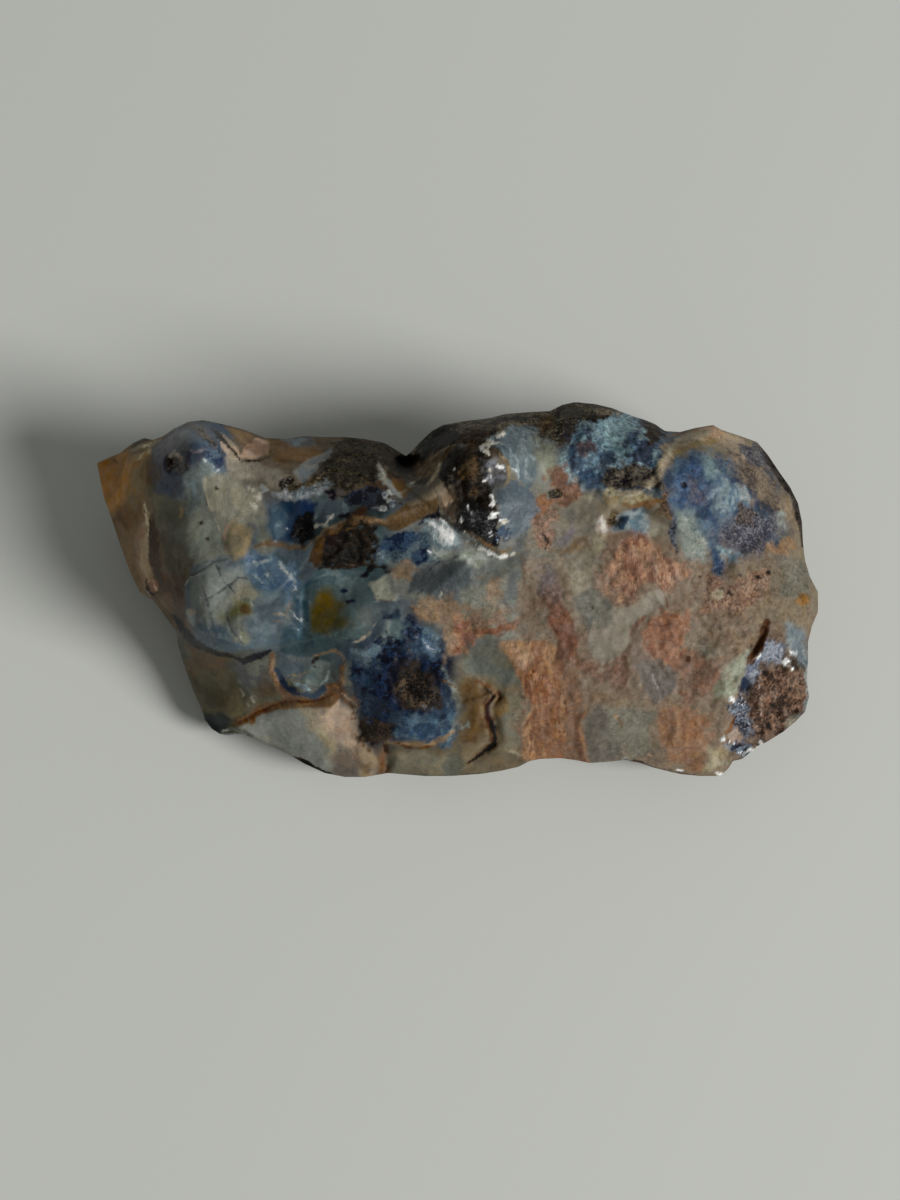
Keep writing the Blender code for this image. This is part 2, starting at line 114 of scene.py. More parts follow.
FACE_HEIGHTS = {
    "nose": (192, 444, 19.2), "nose_front": (190, 485, 18.2), "nose_side": (165, 462, 17.2),
    "amber": (120, 482, 10.8), "amber_fold": (140, 480, 13.6), "amber_low": (128, 525, 8.8),
    "brown_facet": (164, 545, 13.8), "brown_edge": (147, 545, 11.4), "brown_foot": (163, 600, 9.8),
    "chip": (150, 586, 8.4), "plate_west": (182, 560, 15.8), "plate_top": (205, 530, 16.9),
    "plate": (225, 610, 15.4), "plate_east": (272, 615, 15.4), "plate_low": (235, 645, 13.8),
    "plate_corner": (190, 625, 12.9), "toe_facet": (225, 690, 7.2), "toe_facet_top": (225, 668, 9.6),
    "toe_facet_east": (262, 685, 9.6), "toe_low": (215, 722, 3.9), "rust_west": (245, 717, 6.2),
    "pocket": (308, 672, 12.0), "pocket_west": (272, 665, 12.0), "pocket_foot": (300, 703, 9.7),
    "cream_top": (335, 700, 10.3), "cream": (320, 730, 7.5), "cream_foot": (345, 765, 5.6),
    "cream_corner": (375, 750, 7.4), "blue_band": (302, 605, 14.9), "teal_plate": (348, 600, 15.8),
    "teal_low": (350, 640, 14.6), "navy": (405, 685, 12.8), "navy_foot": (400, 728, 10.2),
    "navy_top": (420, 645, 14.2), "beige": (465, 705, 11.6), "beige_foot": (435, 757, 7.6),
    "beige_east": (500, 752, 8.2), "band": (545, 690, 12.0), "band_foot": (548, 735, 9.0),
    "window_foot": (605, 735, 9.0), "window": (605, 690, 11.8), "centre": (590, 620, 14.2),
    "centre_west": (500, 610, 15.4), "centre_top": (555, 560, 16.6), "tan": (465, 625, 14.8),
    "dome_apron": (455, 585, 16.6), "apron_west": (400, 580, 16.1), "clay": (645, 560, 15.6),
    "clay_east": (690, 640, 12.9), "clay_foot": (695, 725, 8.9), "east_face": (705, 680, 11.0),
    "east_grey": (745, 605, 13.0), "slit": (752, 640, 11.6), "east_shelf": (790, 590, 10.8),
    "matrix": (770, 680, 9.7), "matrix_low": (765, 722, 7.8), "matrix_west": (738, 715, 9.2),
    "blue_east": (700, 500, 15.6), "blue_low": (720, 560, 14.4), "blue_rough": (755, 530, 12.9),
    "shoulder_face": (745, 465, 12.9), "east_rough": (785, 530, 10.2), "rim_cream": (690, 442, 15.0),
    "crest_blue": (620, 440, 17.2), "crest_dark": (600, 414, 15.6), "crest_low": (625, 480, 17.6),
    "crest_west": (560, 435, 17.6), "crest_knob": (650, 440, 16.4), "hollow": (640, 525, 16.4),
    "dome_east": (545, 480, 18.4), "dome_foot": (540, 530, 17.4), "dome": (492, 470, 19.6),
    "dome_west": (460, 475, 19.2), "dome_low": (490, 525, 18.7), "dome_back": (500, 430, 18.2),
    "arch_crest": (455, 438, 17.9), "gloss": (444, 535, 18.2), "lip_east": (425, 500, 19.0),
    "lip": (375, 518, 18.6), "lip_west": (325, 538, 17.5), "matrix_mid": (350, 550, 16.6),
    "matrix_mid_east": (395, 548, 17.2), "navy_west": (287, 520, 17.2), "saddle_front": (300, 490, 18.0),
    "saddle_front_east": (365, 495, 18.4), "saddle_front_west": (238, 478, 18.0),
    "saddle": (275, 455, 16.3), "saddle_east": (350, 463, 16.6), "blue_ledge": (260, 570, 16.1),
    "cleft_face": (408, 486, 18.0), "cleft_west": (388, 470, 16.9), "cleft_east": (432, 468, 18.2),
}

# Domes and pits: column, row, half width and half height in pixels, then height in millimetres
LUMPS = {
    "dome": (488, 482, 46, 58, 1.3), "dome_boss": (505, 515, 30, 30, 0.5),
    "nose": (192, 446, 30, 26, 0.7), "nose_pit": (174, 463, 9, 8, -0.8),
    "cleft_pit": (409, 464, 16, 10, -2.4), "pocket": (312, 672, 30, 20, -0.8),
    "blue_boss": (700, 495, 34, 40, 0.6), "crest_boss": (585, 420, 28, 18, 0.7),
    "crest_knob": (652, 432, 16, 12, 0.6), "matrix_pocket": (768, 692, 34, 36, -0.6),
    "shade_hollow": (614, 519, 10, 9, -0.6), "arch_hollow": (445, 436, 14, 9, -0.5),
    "mid_hollow": (300, 528, 22, 13, -0.7), "saddle_dark": (350, 465, 30, 16, -0.5),
    "east_bump": (806, 602, 16, 18, 0.5), "clay_swell": (645, 568, 42, 34, 0.4),
}

# Ledges: a path whose right-hand side is the high one, then drop and reach in millimetres
LEDGES = {
    "dome_foot": ([(520, 548), (500, 555), (478, 544), (454, 525)], 1.5, 3.0),
    "plate_foot": ([(272, 649), (240, 657), (205, 651), (188, 640), (175, 625)], 1.5, 4.0),
    "lip": ([(438, 508), (400, 525), (362, 524), (335, 532), (312, 556)], 1.1, 2.2),
    "matrix_mid_foot": ([(312, 566), (350, 570), (392, 562)], -0.7, 2.0),
    "crack_lens": ([(473, 760), (497, 738), (490, 706), (497, 692), (484, 684)], -0.9, 3.0),
    "cream_east": ([(388, 776), (386, 748), (368, 736), (360, 714), (345, 692)], 0.8, 3.0),
    "matrix_west": ([(795, 640), (763, 655), (748, 676), (736, 698), (730, 718), (722, 742)], 0.9, 3.0),
    "west_fold": ([(150, 598), (148, 560), (147, 516)], 0.7, 1.6),
    "cream_rim": ([(668, 524), (642, 507), (622, 510), (606, 524)], 0.8, 2.4),
    "blue_arc": ([(262, 550), (245, 562), (232, 556), (225, 540), (236, 518)], 0.4, 1.6),
}

# Ridges and grooves: a path, then half width and height in millimetres
FOLDS = {
    "lip": ([(320, 543), (345, 526), (390, 515), (420, 502), (441, 478), (448, 456)], 1.2, 0.9),
    "arch": ([(420, 452), (445, 443), (474, 428), (505, 421), (540, 419)], 0.9, 0.6),
    "cream_rim": ([(612, 500), (640, 489), (660, 492), (662, 462), (676, 444), (712, 430)], 0.9, 0.6),
    "saddle_front": ([(238, 476), (270, 484), (305, 490), (345, 492), (392, 500)], 0.9, 0.5),
    "rust": ([(232, 722), (262, 711), (286, 702), (320, 700), (340, 688)], 0.6, -0.5),
    "blue_band": ([(300, 572), (303, 605), (304, 632), (292, 654)], 0.9, -0.4),
    "crack": ([(487, 686), (498, 696), (488, 706), (493, 724), (496, 738), (474, 760)], 0.5, -0.8),
    "slit": ([(764, 624), (758, 640), (750, 656)], 0.45, -0.8),
    "cream_crack": ([(386, 746), (390, 756), (387, 774)], 0.45, -0.6),
    "navy_foot": ([(372, 738), (402, 744), (436, 746)], 0.5, -0.5),
}

FACE_LUMP_SIZE = 3.2 * MM
FACE_LUMP_HEIGHT = 0.35 * MM
ROUGH_EAST_HEIGHT = 0.5 * MM
ROUGH_EAST_COLUMN = 690.0
ROUGH_EAST_RUN = 60.0
ROUGH_EAST_FINENESS = 2.3
SCALLOP_SIZE = 5.5 * MM
SCALLOP_DEPTH = 0.7 * MM
LEDGE_WIDTH = 0.6 * MM
RIM_FADE = 0.6 * MM
SPINE_HALF_LENGTH = 15.0 * MM
WALL_LEAN = math.radians(24.0)
WALL_TURN = 1.3
WALL_FLAT_SIZE = 7.0 * MM
WALL_FLAT_DEPTH = 1.8 * MM
WALL_FLAT_MIDDLE = 0.4
WALL_LUMP_SIZE = 3.0 * MM
WALL_LUMP_DEPTH = 1.0 * MM
WALL_EASING_RUN = 11.0 * MM
WALL_RING_CROWDING = 1.15  # above 1 the wall's rings lie closer under the rim
WALL_GRIT_SIZE = 0.9 * MM
WALL_GRIT_DEPTH = 0.22 * MM
BASE_INSET = 1.2 * MM
BASE_HOLLOW_SIZE = 5.0 * MM
BASE_HOLLOW_DEPTH = 0.35 * MM
BASE_PATCH = 0.35  # how large the middle patch of the underside is, in rings
LEAST_LEAN = math.radians(12.0)

# Small relief of the face: the size of its features, then its height, all in millimetres
FLAKES = (2.1, -0.14)
CHIPS = (0.8, 0.2)
GRIT = (0.6, 0.24)
RIPPLE = (1.3, 0.02)
RAISED_SHARE = 0.5  # how much of what the marks raise is built
RIM_RELIEF = 0.25  # how much of the small relief is left at the rim

# The marks run on from the face down the walls, folded over the rim towards this picture point
MIRROR_MIDDLE = (450.0, 600.0)
MIRROR_STRETCH = 0.55

# The fine grid
FACE_COLUMNS = 360
FACE_ROWS = 190
WALL_RINGS = 21
BASE_RINGS = 6

# Looks
GROUND_COLOUR = (108, 98, 82)
IRONSTONE = (74, 58, 42)
IRONSTONE_DARK = (46, 38, 32)
IRONSTONE_TAN = (104, 82, 58)
POTCH = (106, 104, 94)
POTCH_BLUE = (82, 92, 106)
SEAM_TILT = 0.12  # how far the seams of opal climb towards the east end
SEAM_LEVEL = 0.12
WALL_MARKS_REACH = 0.4  # share of the wall's rings that the marks run down to
WALL_MARKS_WANDER = 0.5
WALL_MARKS_FADE = 0.16
PAINT_GAIN = 1.36  # from light as seen in the picture to the share of light that the surface sends back
PAINT_HAZE = 0.008  # what the surface's own sheen adds
PAINT_RANGE = (0.003, 0.9)
FLOOR_SIZE = 3.0
FLOOR_COLOUR = (0.71, 0.73, 0.71)
FLOOR_ROUGHNESS = 0.6
WORLD_COLOUR = (0.98, 1.0, 0.93)
WORLD_STRENGTH = 0.17
KEY_COLOUR = (1.0, 0.98, 0.95)
KEY_POWER = 20.5
KEY_AZIMUTH = -24.0
KEY_ELEVATION = 34.0
KEY_SIZE = 0.62
KEY_DISTANCE = 1.5
SENSOR_WIDTH = 36.0


# Noise

def hashed(cell, seed):
    """A fixed pseudo-random number from 0 to 1 for each whole-number cell."""
    mask = 0xFFFFFFFF
    h = (cell[:, 0] * 73856093) ^ (cell[:, 1] * 19349663) ^ (cell[:, 2] * 83492791) ^ (seed * 15485863)
    h &= mask
    h = (((h >> 16) ^ h) * 0x45D9F3B) & mask
    h = (((h >> 16) ^ h) * 0x45D9F3B) & mask
    return (((h >> 16) ^ h) & 0xFFFFFF) / 0x1000000


def swell(points, seed=0):
    """Smooth noise from -1 to 1, with features about as large as one unit."""
    low = np.floor(points).astype(np.int64)
    t = points - low
    t = t**3 * (t * (6 * t - 15) + 10)
    total = np.zeros(len(points))
    for corner in np.ndindex(2, 2, 2):
        corner = np.array(corner)
        weight = np.prod(np.where(corner, t, 1 - t), axis=1)
        total += weight * hashed(low + corner, seed)
    return 2 * total - 1


def layered(points, octaves=4, seed=0):
    """Swells on swells: each octave is half as large and a little over half as strong."""
    total = np.zeros(len(points))
    strength, whole = 1.0, 0.0
    for octave in range(octaves):
        total += strength * swell(points * 2.03**octave + 7.7 * octave, seed + octave)
        whole += strength
        strength *= 0.55
    return total / whole * 1.7


def cells(points, seed=0):
    """Distance to the nearest and the second nearest of scattered seeds, and the nearest one's number."""
    low = np.floor(points).astype(np.int64)
    near = np.full(len(points), 9.0)
    second = near.copy()
    number = np.zeros(len(points))
    for offset in np.ndindex(3, 3, 3):
        cell = low + np.array(offset) - 1
        seedling = cell + np.stack([hashed(cell, seed + k) for k in (11, 12, 13)], axis=1)
        distance = np.linalg.norm(points - seedling, axis=1)
        closer = distance < near
        second = np.where(closer, near, np.minimum(second, distance))
        number = np.where(closer, hashed(cell, seed + 14), number)
        near = np.where(closer, distance, near)
    return near, second, number


def smooth(x):
    x = np.clip(x, 0, 1)
    return x * x * (3 - 2 * x)


# Shape of the stone

def along(path, count):
    """count + 1 points, evenly spaced along a path of picture points."""
    path = np.array(path, float)
    run = np.concatenate([[0], np.cumsum(np.hypot(*np.diff(path, axis=0).T))])
    stops = np.linspace(0, run[-1], count + 1)
    return np.stack([np.interp(stops, run, path[:, 0]), np.interp(stops, run, path[:, 1])], axis=1)


def picture_points():
    """The face grid's picture points, row by row from the south side: a Coons patch between the sides."""
    north, south = along(NORTH, FACE_COLUMNS), along(SOUTH[::-1], FACE_COLUMNS)
    west, east = along(WEST, FACE_ROWS), along(EAST[::-1], FACE_ROWS)
    s = np.linspace(0, 1, FACE_COLUMNS + 1)[None, :, None]
    t = np.linspace(0, 1, FACE_ROWS + 1)[:, None, None]
    corners = (
        (1 - s) * (1 - t) * south[0]
        + s * (1 - t) * south[-1]
        + (1 - s) * t * north[0]
        + s * t * north[-1]
    )
    sides = (1 - t) * south[None] + t * north[None] + (1 - s) * west[:, None] + s * east[:, None]
    return (sides - corners).reshape(-1, 2)


def distance_to(path, points):
    """Distance in pixels from a path, positive to the right of the walk, and the share of the way along."""
    path = np.array(path, float)
    lengths = np.hypot(*np.diff(path, axis=0).T)
    starts = np.concatenate([[0], np.cumsum(lengths)])
    nearest = np.full(len(points), np.inf)
    side = np.ones(len(points))
    share = np.zeros(len(points))
    for k, (a, b) in enumerate(zip(path[:-1], path[1:])):
        step = b - a
        t = np.clip((points - a) @ step / (step @ step), 0, 1)
        gap = points - (a + t[:, None] * step)
        distance = np.hypot(gap[:, 0], gap[:, 1])
        cross = step[0] * (points[:, 1] - a[1]) - step[1] * (points[:, 0] - a[0])
        closer = distance < nearest
        nearest = np.where(closer, distance, nearest)
        side = np.where(closer, np.where(cross < 0, -1.0, 1.0), side)
        share = np.where(closer, (starts[k] + t * lengths[k]) / starts[-1], share)
    return nearest * side, share


def taper(share):
    return np.sin(np.pi * np.clip(share, 0.04, 0.96)) ** 0.5


def spline_heights(points):
    """Heights in metres at picture points: a thin-plate spline through the landmarks."""
    marks = np.array([*RIM_HEIGHTS.values(), *FACE_HEIGHTS.values()], float)
    size = len(marks)

    def bend(p, q):
        squared = ((p[:, None] - q[None]) ** 2).sum(2)
        return 0.5 * squared * np.log(squared + 1e-9)

    flat = np.column_stack([np.ones(size), marks[:, :2]])
    system = np.zeros((size + 3, size + 3))
    system[:size, :size] = bend(marks[:, :2], marks[:, :2])
    system[:size, size:] = flat
    system[size:, :size] = flat.T
    weights = np.linalg.solve(system, np.concatenate([marks[:, 2], np.zeros(3)]))
    plane = np.column_stack([np.ones(len(points)), points])
    return MM * (bend(points, marks[:, :2]) @ weights[:size] + plane @ weights[size:])


def relief(points):
    """What the lumps, ledges and folds add to the height, in metres."""
    added = np.zeros(len(points))
    for column, row, half_width, half_height, height in LUMPS.values():
        spread = ((points[:, 0] - column) / half_width) ** 2 + ((points[:, 1] - row) / half_height) ** 2
        added += height * MM * np.exp(-1.5 * spread**1.5)
    for path, drop, reach in LEDGES.values():
        distance, share = distance_to(path, points)
        away = distance * PIXEL
        fade = taper(share) * np.exp(-np.abs(away) / (reach * MM))
        added += 0.5 * drop * MM * fade * np.tanh(2 * away / LEDGE_WIDTH)
    for path, half_width, height in FOLDS.values():
        distance, share = distance_to(path, points)
        added += height * MM * taper(share) * np.exp(-((distance * PIXEL / (half_width * MM)) ** 2))
    return added


def unevenness(points):
    """Soft swells and shell-like hollows all over the face, and knobs towards the east end, in metres."""
    added = np.zeros(len(points))
    for k, (column, row) in enumerate(points):
        spot = Vector((column, row, 0)) * PIXEL
        rough = min(max((column - ROUGH_EAST_COLUMN) / ROUGH_EAST_RUN, 0.0), 1.0)
        added[k] = FACE_LUMP_HEIGHT * noise.noise(spot / FACE_LUMP_SIZE)
        added[k] += ROUGH_EAST_HEIGHT * rough * noise.noise(spot / FACE_LUMP_SIZE * ROUGH_EAST_FINENESS)
        near, second = noise.voronoi(spot / SCALLOP_SIZE)[0][:2]
        added[k] -= SCALLOP_DEPTH * (second - near)
    return added


def wall_relief(place):
    """How far in the wall lies at a place, in metres: broken flats with edges between them, and lumps."""
    near, second = noise.voronoi(place / WALL_FLAT_SIZE)[0][:2]
    flats = (second - near - WALL_FLAT_MIDDLE) * WALL_FLAT_DEPTH
    return flats + noise.noise(place / WALL_LUMP_SIZE) * WALL_LUMP_DEPTH


def place_in_stone(points, heights):
    """Where the view's rays through picture points meet their heights, in the stone's frame."""
    sine, cosine = math.sin(VIEW_TILT), math.cos(VIEW_TILT)
    eye = np.array([0, -VIEW_DISTANCE * sine, AIM_HEIGHT + VIEW_DISTANCE * cosine])
    right = (points[:, 0] - PICTURE_MIDDLE[0]) * PIXEL
    up = (PICTURE_MIDDLE[1] - points[:, 1]) * PIXEL
    rays = np.stack(
        [right, VIEW_DISTANCE * sine + up * cosine, up * sine - VIEW_DISTANCE * cosine], axis=1
    )
    return eye + rays * ((heights - eye[2]) / rays[:, 2])[:, None]


def middle_of_outline():
    """The middle of the outline's box in the stone's frame, which is the origin."""
    outline = np.concatenate([along(side, 200) for side in (NORTH, EAST, SOUTH, WEST)])
    places = place_in_stone(outline, spline_heights(outline))
    return (places.min(0) + places.max(0)) / 2 * np.array([1, 1, 0])


# Colours of the opal, its clays and its ironstone, as they look in the picture's light
AMBER = (158, 116, 56)
HONEY = (100, 70, 36)
OLIVE = (74, 70, 54)
BROWN = (64, 47, 33)
UMBER = (38, 29, 22)
BLACK = (11, 10, 10)
SEPIA = (90, 70, 52)
TAN = (112, 92, 70)
PINK_TAN = (134, 110, 94)
CREAM = (140, 127, 108)
PEARL = (180, 176, 164)
# The white of the painted highlights: glints and glares
PAINTED_HIGHLIGHT_WHITE = (236, 238, 234)
GREY = (100, 99, 92)
WARM_GREY = (112, 103, 92)
DUSK = (72, 73, 75)
SAGE = (92, 94, 86)
SLATE = (70, 79, 88)
STEEL = (94, 104, 113)
ICE = (126, 135, 140)
BLUE = (58, 72, 98)
NAVY = (27, 36, 60)
INK = (13, 16, 28)
TEAL = (54, 67, 72)
VIOLET = (52, 48, 64)
PLUM = (60, 46, 46)
ORANGE = (138, 100, 76)
APRICOT = (154, 120, 96)
BRICK = (118, 80, 66)
FOX = (110, 70, 42)
RUST = (66, 38, 20)


# Marks on the face, as a painter would set them out: two colours, a form in picture points, and a finish

def area(colour, second, outline, **more):
    return {"form": "area", "colour": colour, "second": second, "path": outline, **more}


def fibrous(colour, second, outline, **more):
    return area(colour, second, outline, pattern="fibres", **more)


def mottled(colour, second, outline, **more):
    return area(colour, second, outline, pattern="mottle", **more)


def grainy(colour, second, outline, **more):
    return area(colour, second, outline, pattern="grain", **more)


def dotted(colour, second, outline, **more):
    return area(colour, second, outline, pattern="dots", **more)


def oval(colour, second, centre, half_size, turn=0.0, **more):
    form = {"form": "oval", "centre": centre, "half": half_size, "turn": turn}
    return {**form, "colour": colour, "second": second, **more}


def streak(colour, second, path, width, **more):
    return {"form": "streak", "colour": colour, "second": second, "path": path, "width": width, **more}


def zone(outline, soft, **values):
    """Changes the values in an outline and leaves the colours as they are."""
    return {"form": "area", "path": outline, "soft": soft, "colour": None, "second": None, "only": values}


def inside(outline, points):
    """True for the points inside a closed outline."""
    outline = np.array(outline, float)
    within = np.zeros(len(points), bool)
    for (ax, ay), (bx, by) in zip(outline, np.roll(outline, -1, axis=0)):
        if ay == by:
            continue
        crosses = (ay > points[:, 1]) != (by > points[:, 1])
        within ^= crosses & (points[:, 0] < (bx - ax) * (points[:, 1] - ay) / (by - ay) + ax)
    return within


def depth_inside(mark, points):
    """How far in pixels each point lies inside a mark, negative outside."""
    if mark["form"] == "area":
        outline = [*mark["path"], mark["path"][0]]
        distance = np.abs(distance_to(outline, points)[0])
        return np.where(inside(mark["path"], points), distance, -distance)
    if mark["form"] == "oval":
        turn = math.radians(mark["turn"])
        gap = points - np.array(mark["centre"], float)
        across = (gap[:, 0] * math.cos(turn) + gap[:, 1] * math.sin(turn)) / mark["half"][0]
        down = (gap[:, 1] * math.cos(turn) - gap[:, 0] * math.sin(turn)) / mark["half"][1]
        return (1 - np.hypot(across, down)) * min(mark["half"])
    distance, share = distance_to(mark["path"], points)
    ends = 1.0 if mark.get("blunt") else np.sin(np.pi * np.clip(share, 0.02, 0.98)) ** 0.5
    return mark["width"] / 2 * ends - np.abs(distance)


# How strongly each pattern is broken up by the material's specks
SPECKS = {"cloud": 0.3, "fibres": 0.9, "mottle": 1.0, "grain": 1.25, "dots": 0.5}
SOFT = 4.0  # width in pixels of a mark's edge, where it names none
CAST = 0.94  # how much a mark covers, where it says nothing else
# Marks of full gloss are painted highlights: pale glints, some with a little raised relief
PAINTED_GLINT_BREAKUP = 3.0  # how much more than other marks a glint breaks into flecks
REACH = 22.0  # how far in pixels a mark may wander
SMALL_OVAL = 9  # ovals under this half width in pixels keep their form, as streaks do
SECOND_SHADE = 0.88  # how dark a second colour is, where a mark names none
# Size in millimetres of the noises that move the marks' edges and fray them
FLOW_SIZE = 4.0
DRIFT_SIZE = 1.8
VEIL_SIZE = 1.6
FRAY_SIZE = 0.5


def pattern(mark, seed, points, places):
    """How much of a mark's second colour shows at each point, from 0 to 1."""
    kind = mark.get("pattern", "cloud")
    size = mark.get("size", 1.0)
    cover = mark.get("cover", 0.5)
    if kind == "fibres":
        turn = math.radians(mark.get("lie", 90.0))
        run = points @ np.array([math.cos(turn), math.sin(turn)])
        across = points @ np.array([-math.sin(turn), math.cos(turn)])
        grid = np.stack([run * PIXEL / MM / (5.0 * size), across * PIXEL / MM / size, 0 * run], axis=1)
        return smooth(0.5 + 1.3 * (layered(grid, 3, seed) + 2 * (cover - 0.5)))
    if kind in ("grain", "dots"):
        return np.clip(cover + 0.4 * layered(places / 0.9, 4, seed), 0, 1)
    if kind == "mottle":
        return smooth(0.5 + 1.2 * layered(places / size, 4, seed) + 2 * (cover - 0.5))
    return smooth(0.5 + 1.2 * layered(places / (1.6 * size), 3, seed) + 2 * (cover - 0.5))


class Skin:
    """What covers a set of points: two colours as seen and how much the second shows, gloss, grain,
    fibres, and what is raised, in millimetres."""

    def __init__(self, count, colour):
        self.colour = np.tile(np.array(colour, float), (count, 1))
        self.second = self.colour * SECOND_SHADE
        self.values = {"mix": np.full(count, 0.35), "gloss": np.full(count, 0.5),
                       "grain": np.full(count, 0.15), "fibre": np.zeros(count), "speck": np.full(count, 0.5)}
        self.raised = np.zeros(count)

    def lay(self, which, share, colour, second=None, raised=0.0, **values):
        """Lays two colours and some values on the points, as far as share says."""
        blend = share[:, None]
        if colour is not None:
            colour = np.asarray(colour, float)
            second = colour * SECOND_SHADE if second is None else np.asarray(second, float)
            self.colour[which] += blend * (colour - self.colour[which])
            self.second[which] += blend * (second - self.second[which])
        for key, value in values.items():
            if value is not None:
                self.values[key][which] += share * (value - self.values[key][which])
        self.raised[which] += raised * share

    def join(self, other):
        """This skin followed by another one's."""
        whole = Skin(0, (0, 0, 0))
        whole.colour = np.concatenate([self.colour, other.colour])
        whole.second = np.concatenate([self.second, other.second])
        whole.values = {key: np.concatenate([self.values[key], other.values[key]]) for key in self.values}
        return whole


def paint(skin, marks, points, places):
    """Lays the marks on the face in order, with edges that wander and fray like the stone's own."""
    flow = np.stack([layered(places / FLOW_SIZE, 3, seed) for seed in (3, 5)], axis=1)
    drift = np.stack([layered(places / DRIFT_SIZE, 4, seed) for seed in (7, 11)], axis=1)
    veil = layered(places / VEIL_SIZE, 4, 13)
    grit = layered(places / FRAY_SIZE, 3, 9)
    for seed, mark in enumerate(marks):
        soft = mark.get("soft", SOFT)
        reach = 2 * soft + REACH + mark.get("width", 0.0)
        if mark["form"] == "oval":
            low = np.array(mark["centre"]) - max(mark["half"])
            high = np.array(mark["centre"]) + max(mark["half"])
        else:
            low, high = np.min(mark["path"], axis=0), np.max(mark["path"], axis=0)
        which = np.flatnonzero(np.all((points > low - reach) & (points < high + reach), axis=1))
        if not len(which):
            continue
        kind = mark.get("pattern", "cloud")
        small = mark["form"] == "oval" and max(mark["half"]) < SMALL_OVAL
        # Streaks and small ovals keep their form, patterned marks fray finely, and the others wander
        if mark["form"] == "streak" or small:
            # Streaks of full gloss are painted glints and break into flecks
            broken = PAINTED_GLINT_BREAKUP if mark.get("gloss") == 1 else 1.0
            spot = points[which] + 1.8 * broken**0.5 * drift[which]
            fray = (0.4 + 0.4 * soft) * broken * grit[which]
        elif kind in ("mottle", "grain", "dots"):
            spot = points[which] + 5 * flow[which] + 3 * drift[which]
            fray = (2.5 + 0.5 * soft) * (grit[which] + 0.8 * veil[which])
            soft *= 1.8 if soft >= 4 else 1.2
        elif soft <= 3:
            spot, fray = points[which] + 5 * flow[which], (1.0 + 0.3 * soft) * veil[which]
        else:
            spot, fray = points[which] + 8 * flow[which], (2.0 + 0.6 * soft) * veil[which]
            soft *= 2.0
        share = smooth(0.5 + (depth_inside(mark, spot) + fray) / soft) * mark.get("cast", CAST)
        if "only" in mark:
            skin.lay(which, share, None, **mark["only"])
            continue
        mix = pattern(mark, seed, points[which], places[which])
        skin.lay(which, share, mark["colour"], mark["second"], mark.get("raised", 0.0), mix=mix,
                 gloss=mark.get("gloss"), grain=mark.get("grain"), fibre=float(kind == "fibres"),
                 speck=mark.get("speck", SPECKS[kind]))


# Broad washes under everything else
WASHES = [
    area(DUSK, SAGE, [(80, 420), (420, 420), (450, 600), (460, 780), (180, 780)], size=3, soft=20,
         gloss=0.7),
    area((112, 90, 66), (88, 70, 50), [(80, 430), (176, 420), (190, 640), (160, 640)], size=2, soft=10,
         gloss=0.5),
    area((86, 72, 56), BROWN, [(220, 420), (440, 420), (400, 500), (250, 490)], size=1.5, soft=14,
         gloss=0.45, speck=0.8),
    area(SLATE, TEAL, [(190, 550), (290, 500), (400, 500), (410, 640), (330, 680), (200, 660)], size=2.5,
         soft=16, gloss=0.8),
    area((66, 62, 48), OLIVE, [(176, 640), (270, 660), (300, 700), (250, 740), (200, 740)], size=2, soft=12,
         gloss=0.7),
    area(WARM_GREY, GREY, [(250, 710), (330, 690), (390, 740), (390, 780), (300, 780)], size=2.5, soft=10,
         gloss=0.65),
    area((42, 50, 66), INK, [(340, 630), (460, 620), (470, 740), (370, 750)], size=1.4, soft=16, gloss=0.8,
         speck=1),
    area(UMBER, (58, 50, 42), [(400, 430), (470, 400), (660, 390), (680, 430), (560, 440), (450, 470)],
         size=1.2, soft=10, gloss=0.4, grain=0.5, speck=1.2),
    area(GREY, (88, 92, 92), [(400, 520), (560, 460), (600, 600), (540, 660), (420, 640)], size=1.8,
         soft=18, gloss=0.65, speck=0.6),
    area(SLATE, (44, 54, 78), [(550, 440), (580, 410), (670, 410), (690, 460), (780, 460), (790, 560),
         (700, 570), (660, 500), (580, 500)], size=1.2, soft=16, gloss=0.65, speck=1.1),
    area((118, 104, 90), (108, 84, 70), [(500, 640), (600, 520), (700, 540), (800, 560), (820, 640),
         (720, 780), (520, 780)], size=1.2, soft=20, grain=0.3, gloss=0.45, speck=1.0),
    area((98, 86, 68), (84, 78, 64), [(390, 740), (470, 650), (520, 660), (530, 780), (390, 780)], size=2,
         soft=12, gloss=0.6),
    area((94, 80, 70), UMBER, [(740, 640), (820, 640), (820, 740), (740, 760)], size=1, soft=12, grain=0.7,
         gloss=0.4, speck=1.3),
]

